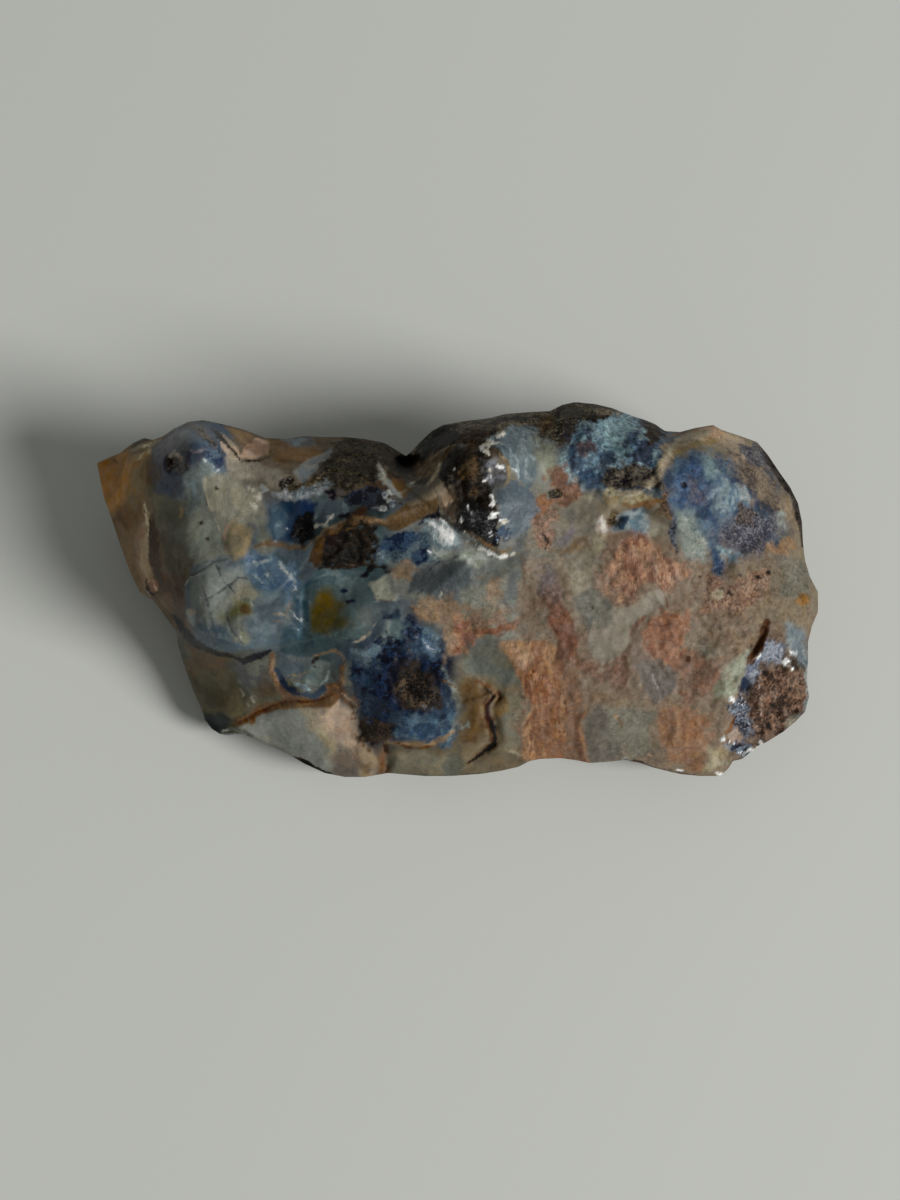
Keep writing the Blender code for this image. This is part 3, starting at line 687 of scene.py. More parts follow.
# The west end: honey opal, a cream line and chip, then brown opal towards the nose
WEST_END = [
    fibrous((128, 102, 76), (106, 85, 62), [(100, 490), (146, 500), (148, 560), (152, 592), (142, 604),
            (128, 580), (108, 530)], size=1.4, soft=6),
    area((172, 118, 62), (144, 98, 52), [(84, 462), (122, 448), (148, 456), (146, 492), (128, 512),
         (96, 508)], size=2, soft=7, gloss=0.6),
    area((192, 132, 66), (160, 108, 54), [(86, 464), (110, 456), (116, 474), (108, 494), (96, 488)], size=2,
         soft=6, gloss=0.6),
    area((112, 80, 50), (96, 70, 48), [(112, 502), (134, 492), (142, 510), (128, 524), (114, 518)], size=2,
         soft=7),
    area((128, 108, 76), (112, 92, 62), [(128, 466), (142, 460), (148, 486), (134, 500), (124, 486)],
         soft=7),
    fibrous((182, 148, 122), (150, 118, 98), [(139, 530), (147, 520), (147, 556), (153, 588), (145, 598),
            (137, 568)], size=0.8, soft=3),
    streak((214, 190, 160), TAN, [(144, 500), (147, 516), (148, 540), (147, 562)], 4, soft=2, raised=0.12),
    fibrous((90, 70, 50), (68, 52, 36), [(150, 514), (166, 510), (178, 540), (182, 590), (180, 622),
            (166, 608), (152, 580)], size=1.2, soft=3, gloss=0.7),
    area((92, 88, 74), (74, 68, 54), [(158, 516), (178, 516), (182, 566), (172, 580), (162, 570)], soft=7,
         gloss=0.7),
    area((96, 62, 36), (66, 44, 28), [(150, 560), (164, 580), (180, 590), (181, 612), (168, 604),
         (152, 584)], size=1, soft=5),
    streak((92, 58, 34), (64, 42, 28), [(154, 520), (155, 545), (157, 566), (163, 584)], 9,
           pattern="fibres", soft=3),
    streak(RUST, UMBER, [(150, 518), (150, 545), (151, 562), (157, 578)], 4, soft=1.5),
    fibrous((170, 142, 114), (146, 118, 94), [(144, 540), (150, 540), (151, 564), (155, 580), (146, 584),
            (141, 566)], size=0.8, soft=3),
    streak((118, 92, 66), SEPIA, [(155, 596), (164, 606), (172, 616)], 3, soft=2),
    oval((204, 158, 134), (132, 88, 66), (152, 586), (7, 7), soft=2, raised=0.25),
    streak(UMBER, BLACK, [(145, 580), (147, 589), (153, 595), (158, 592)], 2.4, soft=1.5, raised=-0.2),
    area((108, 80, 46), (84, 60, 34), [(142, 448), (160, 444), (162, 486), (150, 494), (144, 474)],
         size=1.4, soft=5, gloss=0.7),
    area((180, 160, 124), AMBER, [(128, 452), (148, 445), (154, 450), (142, 456), (128, 460)], size=0.8,
         soft=3),
    streak((210, 196, 164), CREAM, [(128, 451), (146, 445), (160, 440)], 3, soft=1.5),
    streak(UMBER, OLIVE, [(131, 447), (142, 440), (152, 437)], 4, soft=1.5),
    oval(UMBER, BLACK, (116, 462), (2.6, 1.8), soft=1.5),
    area((108, 102, 84), (92, 86, 70), [(142, 492), (160, 480), (178, 498), (184, 530), (170, 540),
         (152, 514)], soft=7, gloss=0.7),
    streak((132, 112, 76), TAN, [(150, 500), (160, 494), (168, 484)], 2, soft=2),
]

# The blue nose and the pale slope in front of it
NOSE = [
    area((66, 74, 88), (54, 58, 74), [(152, 446), (172, 430), (190, 422), (216, 424), (226, 440),
         (230, 470), (206, 484), (176, 500), (158, 490)], size=1.2, soft=4, gloss=0.85),
    area((34, 32, 50), (48, 46, 62), [(158, 448), (172, 436), (186, 438), (184, 456), (176, 484),
         (164, 490), (156, 470)], size=1.2, soft=5, gloss=0.85),
    area((60, 66, 88), VIOLET, [(160, 472), (174, 468), (180, 480), (172, 496), (160, 490)], size=1, soft=5,
         gloss=0.85),
    area((80, 96, 124), (64, 74, 98), [(182, 432), (198, 426), (210, 436), (206, 448), (188, 450)], size=1,
         soft=3, gloss=0.9),
    area((22, 24, 48), VIOLET, [(168, 438), (184, 434), (184, 448), (170, 454)], size=0.8, soft=4),
    mottled(SLATE, (52, 62, 88), [(200, 422), (216, 426), (226, 440), (216, 444), (206, 432)], size=0.8,
            soft=3),
    streak(BLACK, (84, 72, 60), [(186, 424), (200, 430), (212, 440), (218, 452)], 7, pattern="grain",
           soft=2, grain=0.6),
    mottled((40, 48, 78), (84, 94, 116), [(198, 444), (214, 448), (222, 458), (232, 474), (222, 482),
            (206, 464)], size=0.8, soft=3, gloss=0.85),
    area((100, 116, 136), (120, 134, 144), [(206, 464), (220, 476), (220, 488), (208, 484), (200, 472)],
         size=0.7, soft=4, gloss=0.9),
    streak((118, 114, 122), (104, 98, 104), [(184, 449), (196, 451), (206, 447)], 3.2, soft=2),
    oval(BLACK, (120, 92, 76), (174, 464), (9, 9), pattern="grain", cover=0.25, soft=3, raised=-0.5,
         grain=0.6),
    streak((204, 184, 166), CREAM, [(168, 457), (174, 453), (181, 458)], 2.4, soft=1.5, raised=0.1),
    fibrous((102, 108, 106), (90, 97, 96), [(180, 466), (204, 462), (220, 480), (206, 500), (198, 540),
            (182, 510), (176, 486)], size=1.2, soft=6, gloss=0.85),
    # Painted highlights: short pale streaks of full gloss, with a little raised relief
    *[streak(ICE, STEEL, path, 2, soft=1.5, cast=0.8, gloss=1, raised=0.04) for path in ( [(193, 480),
             (195, 490), (194, 502)], [(186, 474), (187, 490)], [(203, 476), (206, 486)])],
    area((84, 82, 70), (74, 72, 62), [(158, 496), (180, 500), (186, 560), (180, 580), (174, 540)], size=2,
         soft=7, gloss=0.8),
    area((106, 108, 98), (98, 102, 94), [(184, 520), (204, 500), (222, 520), (232, 552), (212, 562),
         (186, 574), (180, 550)], size=1.5, soft=5, gloss=0.8),
    fibrous((126, 122, 106), (112, 111, 99), [(204, 480), (240, 476), (248, 500), (232, 530), (222, 530),
            (210, 510)], size=1.6, soft=4, gloss=0.75),
    streak((142, 134, 112), GREY, [(203, 482), (208, 504), (216, 522), (224, 538)], 2, soft=1.5,
           raised=0.08),
    streak((148, 118, 74), SAGE, [(186, 500), (183, 508), (180, 518)], 4, soft=3),
    oval((150, 108, 84), SAGE, (212, 565), (4.5, 3.5), soft=2),
    *[oval(UMBER, BLACK, (x, y), (2, 1.5), soft=1) for x, y in ((217, 488), (201, 522), (206, 537),
           (186, 452))],
]

# The tan saddle behind, its flakes and its dark ironstone
SADDLE = [
    fibrous((96, 84, 70), (80, 70, 58), [(222, 424), (262, 430), (330, 436), (346, 450), (330, 480),
            (300, 498), (262, 482), (232, 472)], lie=10, size=1.4, soft=5, gloss=0.4),
    fibrous((116, 92, 66), (92, 70, 50), [(222, 430), (246, 434), (262, 444), (246, 452), (230, 446)],
            lie=20, size=0.8, soft=4),
    fibrous((104, 76, 48), (80, 60, 42), [(264, 444), (290, 440), (316, 440), (322, 448), (306, 462),
            (280, 468), (268, 458)], lie=10, size=0.8, soft=5, gloss=0.4),
    fibrous((126, 120, 108), (108, 102, 92), [(226, 456), (252, 462), (290, 478), (296, 486), (262, 486),
            (230, 476)], lie=16, size=1.2, soft=5, gloss=0.6),
    area((112, 114, 112), (96, 102, 106), [(290, 474), (306, 460), (328, 444), (334, 450), (316, 474),
         (304, 486)], size=1, soft=3, gloss=0.7),
    area(DUSK, STEEL, [(276, 437), (312, 435), (314, 443), (290, 446)], size=1, soft=3, gloss=0.7),
    area((166, 136, 116), (132, 104, 86), [(246, 446), (262, 440), (273, 444), (268, 455), (254, 460),
         (238, 458)], size=0.8, soft=2, raised=0.2, gloss=0.5),
    area((172, 148, 130), CREAM, [(213, 434), (226, 442), (238, 452), (240, 459), (228, 458), (217, 448)],
         size=0.7, soft=2, raised=0.15),
    streak(BLACK, UMBER, [(212, 430), (222, 438), (234, 450), (240, 458)], 3.4, soft=1.5, raised=-0.2),
    streak(UMBER, SEPIA, [(240, 461), (256, 461), (270, 457)], 2.4, soft=1.5),
    grainy((36, 32, 26), (70, 64, 52), [(332, 440), (352, 434), (386, 442), (404, 454), (386, 466),
           (376, 480), (350, 492), (318, 484), (322, 462)], cover=0.4, soft=2.5, grain=1, gloss=0.3),
    grainy((40, 34, 25), (70, 60, 46), [(282, 478), (300, 486), (320, 474), (330, 484), (312, 496),
           (292, 496)], cover=0.4, soft=2.5, grain=1, gloss=0.3),
    oval(UMBER, GREY, (288, 482), (6, 5), soft=2, pattern="grain", cover=0.3, raised=-0.2),
    mottled((60, 48, 34), (42, 34, 26), [(382, 444), (400, 452), (420, 456), (444, 440), (450, 456),
            (424, 474), (402, 486), (384, 462)], size=0.7, soft=3, grain=0.5, gloss=0.35),
    mottled((90, 68, 42), (66, 50, 34), [(412, 474), (430, 468), (442, 456), (452, 448), (450, 458),
            (436, 472), (420, 482)], size=0.7, soft=3, grain=0.3),
    area(BLACK, UMBER, [(396, 460), (412, 454), (426, 460), (418, 474), (402, 474)], soft=3, grain=0.4,
         gloss=0.2),
    area((104, 72, 36), HONEY, [(394, 474), (406, 476), (414, 488), (404, 494), (394, 486)], size=0.7,
         soft=2),
    streak(PEARL, SAGE, [(404, 492), (410, 487), (418, 484)], 3, soft=1.5, raised=0.1, gloss=0.9),
    streak((150, 150, 142), ICE, [(378, 464), (382, 478), (392, 490), (402, 497)], 6, soft=3.5, gloss=0.9,
           raised=0.12),
    streak((126, 112, 88), TAN, [(324, 472), (318, 478), (306, 492)], 2.4, soft=1.5),
]

# The blue and grey plates on the west half
PLATES = [
    area((84, 92, 95), (72, 82, 90), [(186, 566), (218, 556), (246, 548), (270, 560), (292, 590),
         (292, 640), (268, 654), (206, 650), (184, 622), (180, 590)], size=2.2, soft=2.5, gloss=0.75),
    area((102, 106, 102), (88, 94, 95), [(186, 576), (216, 560), (246, 566), (256, 600), (250, 630),
         (214, 634), (192, 612)], size=2, soft=8, gloss=0.75),
    fibrous((70, 82, 100), (86, 96, 106), [(190, 632), (214, 626), (262, 630), (274, 650), (206, 652),
            (190, 644)], lie=20, size=1, soft=6, gloss=0.8),
    area((118, 114, 98), SAGE, [(232, 582), (248, 580), (256, 594), (248, 610), (232, 602)], size=1, soft=5,
         gloss=0.75),
    oval((92, 90, 58), SAGE, (240, 611), (12, 8), soft=5),
    oval((82, 60, 34), OLIVE, (245, 611), (5, 4), soft=3),
    area((114, 116, 98), SAGE, [(232, 620), (250, 620), (248, 644), (238, 644)], size=1, soft=5),
    mottled((66, 82, 112), (84, 98, 122), [(246, 552), (264, 546), (284, 556), (298, 570), (300, 596),
            (286, 606), (268, 600), (252, 580)], size=1.1, soft=4, gloss=0.8, speck=0.6),
    # Painted highlights: pale glints of full gloss along the blue patch, with a little raised relief
    *[streak(PEARL, ICE, path, 2.4, soft=1.5, cast=0.6, gloss=1, raised=0.03) for path in ( [(253, 560),
             (258, 568)], [(260, 570), (268, 574)], [(262, 560), (270, 558)], [(280, 562), (286, 572)],
             [(286, 574), (294, 580)], [(256, 574), (262, 582)])],
    area((92, 102, 110), SLATE, [(256, 590), (276, 590), (284, 614), (276, 644), (258, 640)], size=1.2,
         soft=7, gloss=0.8),
    *[streak((120, 110, 100), TAN, path, 2.2, soft=1.5, raised=0.03, cast=0.6) for path in ( [(272, 614),
             (284, 613), (288, 618)], [(292, 598), (288, 606), (284, 613)], [(274, 620), (284, 622)])],
    area((40, 56, 76), (52, 68, 82), [(290, 590), (306, 578), (316, 596), (308, 640), (296, 662),
         (284, 652), (294, 620)], size=1, soft=4, gloss=0.85),
    streak((74, 94, 112), SLATE, [(304, 578), (302, 604), (304, 622), (296, 642), (286, 656)], 5, soft=4,
           gloss=0.85),
    *[streak((54, 58, 58), DUSK, path, 1.6, soft=1.2, raised=-0.08, cast=0.85) for path in ( [(184, 578),
             (200, 570), (216, 562), (236, 556)], [(218, 566), (224, 582), (234, 592)], [(206, 600),
             (226, 588), (238, 578), (248, 578)], [(226, 612), (232, 630), (242, 644)], [(204, 590),
             (210, 614), (216, 640)], [(236, 560), (226, 566)], [(292, 590), (290, 606), (294, 616)])],
    *[streak((134, 138, 130), GREY, path, 1.6, soft=1.2, raised=0.06) for path in ( [(200, 596), (206, 620),
             (214, 642)], [(184, 588), (190, 578), (202, 571)], [(250, 594), (252, 608)], [(238, 634),
             (242, 642)])],
    area((130, 112, 84), (110, 100, 80), [(224, 524), (236, 518), (246, 526), (246, 550), (234, 556),
         (224, 542)], size=1.2, soft=4, gloss=0.7),
    streak((162, 142, 112), PINK_TAN, [(238, 518), (227, 528), (223, 542), (230, 558)], 2.4, soft=1.5,
           raised=0.1),
    area((122, 118, 104), (104, 102, 92), [(236, 484), (262, 488), (262, 512), (252, 530), (240, 516),
         (234, 504)], size=1.4, soft=6, gloss=0.75),
    area((98, 102, 98), SAGE, [(246, 510), (262, 510), (270, 540), (262, 552), (250, 546)], size=1.2,
         soft=5, gloss=0.8),
    streak((88, 72, 54), SEPIA, [(254, 546), (272, 543), (290, 548), (304, 546)], 7, pattern="fibres",
           soft=3),
    # Painted highlights: pale glints of full gloss
    *[streak(PEARL, ICE, path, 3, soft=2, cast=0.75, gloss=1, raised=0.06) for path in ( [(244, 486),
             (254, 490)], [(252, 494), (262, 498)], [(258, 486), (266, 492)], [(248, 500), (256, 506)])],
    streak((10, 12, 20), INK, [(174, 615), (184, 630), (193, 642), (206, 650), (214, 652)], 8, soft=1.5,
           raised=-0.25, cast=1),
    area((148, 134, 122), ICE, [(184, 612), (196, 614), (192, 626), (186, 622)], size=0.5, soft=2,
         raised=0.1),
    streak((12, 14, 24), INK, [(230, 657), (244, 661), (258, 656), (268, 651)], 8, soft=1.5, raised=-0.2,
           cast=1),
    streak((20, 18, 20), UMBER, [(200, 648), (214, 651), (224, 655), (238, 659)], 3.6, soft=1.2,
           raised=-0.1, cast=1, blunt=True),
]

# Teal opal with a mustard spot, navy under the saddle, and the long dark ironstone of the middle
BLUES = [
    area((62, 76, 82), (78, 90, 92), [(310, 572), (350, 566), (374, 572), (370, 600), (376, 628),
         (362, 642), (314, 646), (306, 610)], size=1.4, soft=4, gloss=0.8),
    area((84, 90, 88), (70, 82, 86), [(344, 596), (368, 590), (376, 620), (364, 640), (346, 640)], size=1.2,
         soft=6, gloss=0.8),
    oval((72, 60, 26), (62, 56, 30), (328, 618), (18, 23), turn=8, size=1, soft=7, gloss=0.8),
    oval((84, 62, 20), (72, 58, 24), (328, 610), (10, 11), size=1, soft=6, gloss=0.8),
    area((36, 52, 66), TEAL, [(304, 586), (312, 584), (314, 620), (310, 648), (300, 652), (306, 620)],
         size=1, soft=4, gloss=0.85),
    area((52, 68, 84), TEAL, [(292, 640), (330, 640), (346, 646), (330, 654), (300, 660), (284, 656)],
         size=1, soft=4, gloss=0.85),
    streak((140, 128, 110), SAGE, [(376, 622), (370, 632), (360, 640), (350, 643)], 2, soft=1.5,
           raised=0.06),
    streak(ICE, SLATE, [(344, 564), (328, 574), (314, 580)], 2, soft=2, cast=0.6),
    *[oval(INK, NAVY, (x, y), (3, 2), soft=1.5) for x, y in ((348, 601), (352, 600), (344, 590))],
    fibrous((30, 46, 74), NAVY, [(264, 506), (284, 500), (312, 500), (318, 512), (304, 528), (290, 542),
            (270, 536)], size=1, soft=3, gloss=0.85),
    area((78, 90, 106), (62, 78, 100), [(260, 498), (276, 496), (284, 516), (276, 536), (264, 528)],
         size=0.8, soft=6, gloss=0.85),
    area((26, 38, 68), NAVY, [(296, 500), (318, 504), (314, 516), (300, 514)], size=0.6, soft=3, gloss=0.9),
    grainy(BLACK, (52, 46, 46), [(292, 524), (306, 512), (318, 516), (316, 534), (304, 542), (290, 542)],
           cover=0.3, soft=2, grain=0.9, gloss=0.5),
    mottled((128, 132, 134), STEEL, [(264, 492), (296, 492), (318, 486), (334, 484), (330, 494),
            (300, 500)], size=0.7, soft=3, gloss=0.85),
    area((108, 120, 132), SLATE, [(316, 508), (336, 500), (352, 502), (350, 512), (334, 518), (322, 528),
         (314, 522)], size=0.8, soft=2, gloss=0.85),
    # Painted highlight: a white glint
    streak(PAINTED_HIGHLIGHT_WHITE, PEARL, [(317, 527), (326, 523), (334, 516)], 3.4, soft=1.5, gloss=1, raised=0.1),
    mottled(INK, PLUM, [(326, 494), (340, 490), (342, 500), (332, 504)], size=0.7, soft=2, raised=-0.15),
    mottled(INK, (44, 50, 66), [(344, 498), (356, 488), (372, 482), (384, 492), (398, 504), (384, 512),
            (372, 508), (354, 504)], size=0.7, cover=0.4, soft=2, grain=0.4, gloss=0.9),
    # Painted highlights: white glints
    *[streak(PAINTED_HIGHLIGHT_WHITE, (120, 124, 150), path, 3, soft=1.5, gloss=1, cast=0.85, raised=0.12)
             for path in ( [(384, 492), (390, 504)], [(388, 490), (392, 498)], [(374, 508), (388, 511),
             (396, 503)])],
    streak(BLACK, INK, [(337, 515), (346, 515), (354, 512)], 4, soft=1.5, raised=-0.1),
    fibrous((74, 54, 34), (58, 44, 30), [(302, 560), (316, 540), (332, 528), (350, 518), (388, 520),
            (404, 504), (430, 500), (424, 514), (400, 526), (360, 526), (336, 540), (312, 564)], lie=165,
            size=0.8, soft=2.5, grain=0.3, gloss=0.5),
    fibrous((82, 54, 28), (62, 44, 26), [(304, 556), (316, 542), (330, 532), (332, 544), (320, 560),
            (308, 568)], lie=60, size=0.8, soft=4),
    area((138, 108, 80), (108, 84, 62), [(352, 514), (366, 518), (386, 520), (396, 512), (394, 522),
         (372, 526), (354, 522)], size=0.6, soft=2, raised=0.1),
    streak((134, 110, 82), TAN, [(302, 549), (314, 540), (326, 528), (346, 519)], 2.4, soft=1.5,
           raised=0.08),
    oval((70, 38, 22), RUST, (362, 512), (6, 4), soft=3),
    grainy(BLACK, (38, 29, 21), [(316, 566), (328, 536), (350, 524), (378, 528), (386, 548), (376, 562),
           (352, 566), (334, 568)], cover=0.3, soft=3, grain=1, gloss=0.45),
    grainy((38, 28, 19), BLACK, [(324, 548), (334, 532), (348, 530), (350, 540), (336, 554)], cover=0.5,
           soft=5, grain=1, gloss=0.4, cast=0.7),
    streak(BLACK, UMBER, [(318, 566), (340, 567), (362, 564), (386, 570)], 5, pattern="mottle", soft=2,
           grain=0.7),
    *[oval(BLACK, INK, (x, y), (4, 3), soft=1.5, grain=0.6) for x, y in ((366, 576), (384, 566), (372, 570),
           (390, 572))],
    area((118, 122, 118), (134, 134, 120), [(370, 582), (394, 572), (402, 586), (392, 604), (374, 604)],
         size=0.9, soft=3, gloss=0.75),
    streak((72, 50, 40), PLUM, [(374, 598), (384, 601), (396, 600)], 1.6, soft=1.2),
]

# The low west corner: brown opal, the small shell-shaped pocket, rust seams and the cream flat
LOW_WEST = [
    area((90, 82, 62), (74, 68, 50), [(178, 640), (206, 652), (252, 662), (276, 672), (270, 694),
         (238, 716), (214, 734), (196, 704), (184, 664)], size=1.8, soft=3, gloss=0.75),
    area((100, 76, 52), SEPIA, [(184, 648), (206, 652), (232, 660), (216, 674), (192, 670)], size=1, soft=5,
         gloss=0.6),
    area((92, 94, 86), DUSK, [(226, 668), (246, 660), (268, 664), (272, 684), (254, 698), (236, 690)],
         size=1.2, soft=6, gloss=0.85),
    area((92, 88, 72), SEPIA, [(262, 680), (274, 688), (272, 702), (252, 710), (244, 704)], size=1, soft=4,
         cast=0.6),
    area((22, 30, 32), (44, 46, 42), [(198, 706), (214, 712), (230, 722), (222, 736), (208, 728)], size=1,
         soft=4, gloss=0.85),
    streak(BLACK, INK, [(200, 712), (208, 726), (220, 735)], 3, soft=1.5),
    streak((150, 156, 150), SAGE, [(222, 733), (234, 730), (246, 735)], 2.4, soft=1.5),
    # Painted highlights: pale glints of full gloss
    *[streak(PEARL, GREY, path, 1.8, soft=1.2, gloss=1, cast=0.5, raised=0.05) for path in ( [(249, 688),
             (250, 698)], [(239, 682), (243, 694)], [(246, 700), (247, 708)], [(252, 692), (251, 702)])],
    area((80, 86, 88), SLATE, [(272, 664), (290, 658), (316, 656), (330, 664), (320, 674), (296, 682),
         (278, 680)], size=1, soft=3, gloss=0.85),
    area((104, 114, 110), (86, 98, 98), [(306, 678), (320, 660), (334, 664), (332, 682), (320, 690),
         (304, 686)], size=0.8, soft=3, gloss=0.85),
    streak(BLACK, UMBER, [(317, 669), (314, 662), (320, 654)], 3.4, soft=1.5, raised=-0.15),
    streak((126, 112, 88), TAN, [(284, 676), (300, 676), (312, 670)], 2, soft=1.5),
    streak((150, 166, 178), STEEL, [(290, 680), (300, 686), (312, 692)], 4, soft=1.5, gloss=0.9),
    streak((30, 38, 58), (52, 62, 80), [(276, 672), (284, 686), (296, 696), (314, 696), (324, 690)], 8,
           soft=2, gloss=0.8, blunt=True),
    streak((150, 164, 164), STEEL, [(330, 670), (327, 680), (320, 685)], 2.6, soft=1.5, raised=0.06),
    streak((100, 72, 50), (130, 102, 78), [(272, 654), (270, 670), (278, 688), (292, 699), (316, 702),
           (334, 695), (344, 682), (342, 668)], 6, pattern="fibres", soft=2, raised=0.1, blunt=True),
    streak((112, 94, 76), TAN, [(312, 656), (334, 650), (342, 656), (346, 664)], 3, soft=1.5, raised=0.1),
    area((180, 154, 134), (162, 137, 119), [(314, 706), (338, 694), (352, 706), (362, 726), (370, 744),
         (366, 762), (348, 756), (334, 736), (322, 716)], size=1.5, soft=6, gloss=0.6),
    area((136, 135, 123), (121, 124, 118), [(252, 716), (284, 704), (306, 706), (320, 724), (334, 752),
         (340, 770), (318, 770), (282, 752), (258, 738), (246, 728)], size=2.4, soft=4, gloss=0.75),
    area((150, 136, 112), CREAM, [(300, 708), (314, 706), (332, 738), (340, 756), (332, 758), (316, 730)],
         size=1, soft=5, gloss=0.65),
    area((90, 84, 78), (106, 92, 80), [(334, 752), (352, 746), (366, 756), (362, 774), (340, 774)], size=1,
         soft=6, gloss=0.7),
    area((150, 128, 104), TAN, [(362, 740), (376, 744), (382, 770), (366, 774)], size=1, soft=5),
    area((116, 76, 48), (96, 62, 38), [(380, 744), (390, 742), (390, 776), (380, 774)], size=0.8, soft=4),
    fibrous((110, 84, 58), (88, 64, 44), [(236, 721), (262, 705), (284, 695), (318, 698), (338, 689),
            (346, 694), (330, 704), (290, 707), (262, 716), (242, 727)], lie=160, size=0.7, soft=3,
            grain=0.3),
    streak((92, 52, 22), FOX, [(234, 724), (246, 718), (262, 711), (282, 703)], 5, pattern="fibres", soft=2,
           raised=-0.15),
    streak((62, 30, 12), RUST, [(236, 722), (250, 716), (264, 709), (284, 702), (306, 701), (326, 698),
           (340, 692)], 2.6, soft=1.5, raised=-0.15),
    streak((100, 58, 24), HONEY, [(250, 725), (254, 716), (258, 712)], 3, soft=2),
    grainy((108, 76, 52), (84, 58, 42), [(326, 690), (340, 684), (352, 698), (360, 714), (352, 712),
           (340, 698)], size=0.5, soft=3, grain=0.5),
    streak((156, 134, 118), PINK_TAN, [(342, 692), (354, 706), (362, 724)], 2.4, soft=1.5, raised=0.08),
    mottled((150, 120, 98), SEPIA, [(352, 728), (362, 734), (372, 748), (360, 744)], size=0.7, soft=2.5,
            raised=0.12),
    streak((40, 20, 10), RUST, [(385, 744), (390, 758), (388, 775)], 5, soft=1.5, raised=-0.2, cast=1,
           blunt=True),
    streak(BLACK, UMBER, [(294, 756), (308, 765), (320, 771), (332, 775)], 6, soft=1.5, raised=-0.1),
]

# Navy opal around a core of granular ironstone
NAVY_CORE = [
    mottled((48, 60, 82), (28, 36, 56), [(346, 652), (372, 640), (396, 622), (418, 630), (440, 644),
            (452, 676), (456, 712), (446, 740), (404, 744), (372, 734), (352, 700)], size=1, soft=4,
            gloss=0.8),
    fibrous(SLATE, (92, 104, 116), [(344, 650), (372, 644), (392, 660), (380, 672), (352, 668)], lie=0,
            size=0.8, soft=4, gloss=0.85),
    area((116, 124, 118), (92, 106, 108), [(378, 624), (394, 622), (402, 636), (392, 652), (374, 644)],
         size=1, soft=5, gloss=0.8),
    mottled((70, 88, 118), (98, 112, 130), [(408, 630), (430, 632), (440, 648), (434, 662), (418, 650)],
            size=0.8, soft=4, gloss=0.85),
    mottled(INK, (36, 46, 74), [(378, 652), (398, 646), (414, 654), (430, 656), (446, 672), (440, 700),
            (426, 716), (398, 712), (376, 700), (370, 676)], size=0.9, cover=0.42, soft=5, gloss=0.75,
            grain=0.3),
    *[grainy(INK, (40, 52, 82), [(x - 9, y), (x, y - 6), (x + 9, y - 1), (x + 3, y + 6)], soft=4, cover=0.4)
             for x, y in ((392, 618), (408, 620), (380, 714), (362, 690), (398, 650), (356, 672),
             (406, 636), (368, 664), (384, 640), (436, 664), (412, 612))],
    grainy((50, 41, 35), BLACK, [(400, 668), (412, 652), (426, 664), (438, 690), (436, 708), (420, 718),
           (402, 710), (390, 694)], soft=3, grain=1, gloss=0.3),
    grainy((86, 70, 55), (24, 19, 16), [(404, 676), (418, 666), (430, 690), (426, 708), (408, 706),
           (396, 694)], cover=0.55, soft=3, grain=1, gloss=0.3),
    mottled((84, 100, 122), (52, 66, 94), [(402, 722), (424, 716), (440, 722), (454, 700), (458, 720),
            (444, 742), (412, 746), (394, 736)], size=0.9, soft=5, gloss=0.8),
    oval(NAVY, BLUE, (420, 729), (6, 4), soft=3),
    streak((124, 130, 124), SAGE, [(444, 668), (455, 690), (458, 716), (450, 738)], 7, soft=5, gloss=0.75),
    grainy((66, 50, 38), BLACK, [(362, 718), (374, 724), (392, 728), (396, 738), (376, 744), (362, 734)],
           soft=3, grain=0.9, gloss=0.35),
    streak((138, 108, 82), TAN, [(386, 742), (404, 744), (428, 745), (444, 738), (456, 730)], 5, soft=3),
    streak((78, 44, 22), RUST, [(394, 742), (406, 747), (424, 748), (436, 746)], 3, pattern="fibres",
           soft=1.5, raised=-0.12),
]

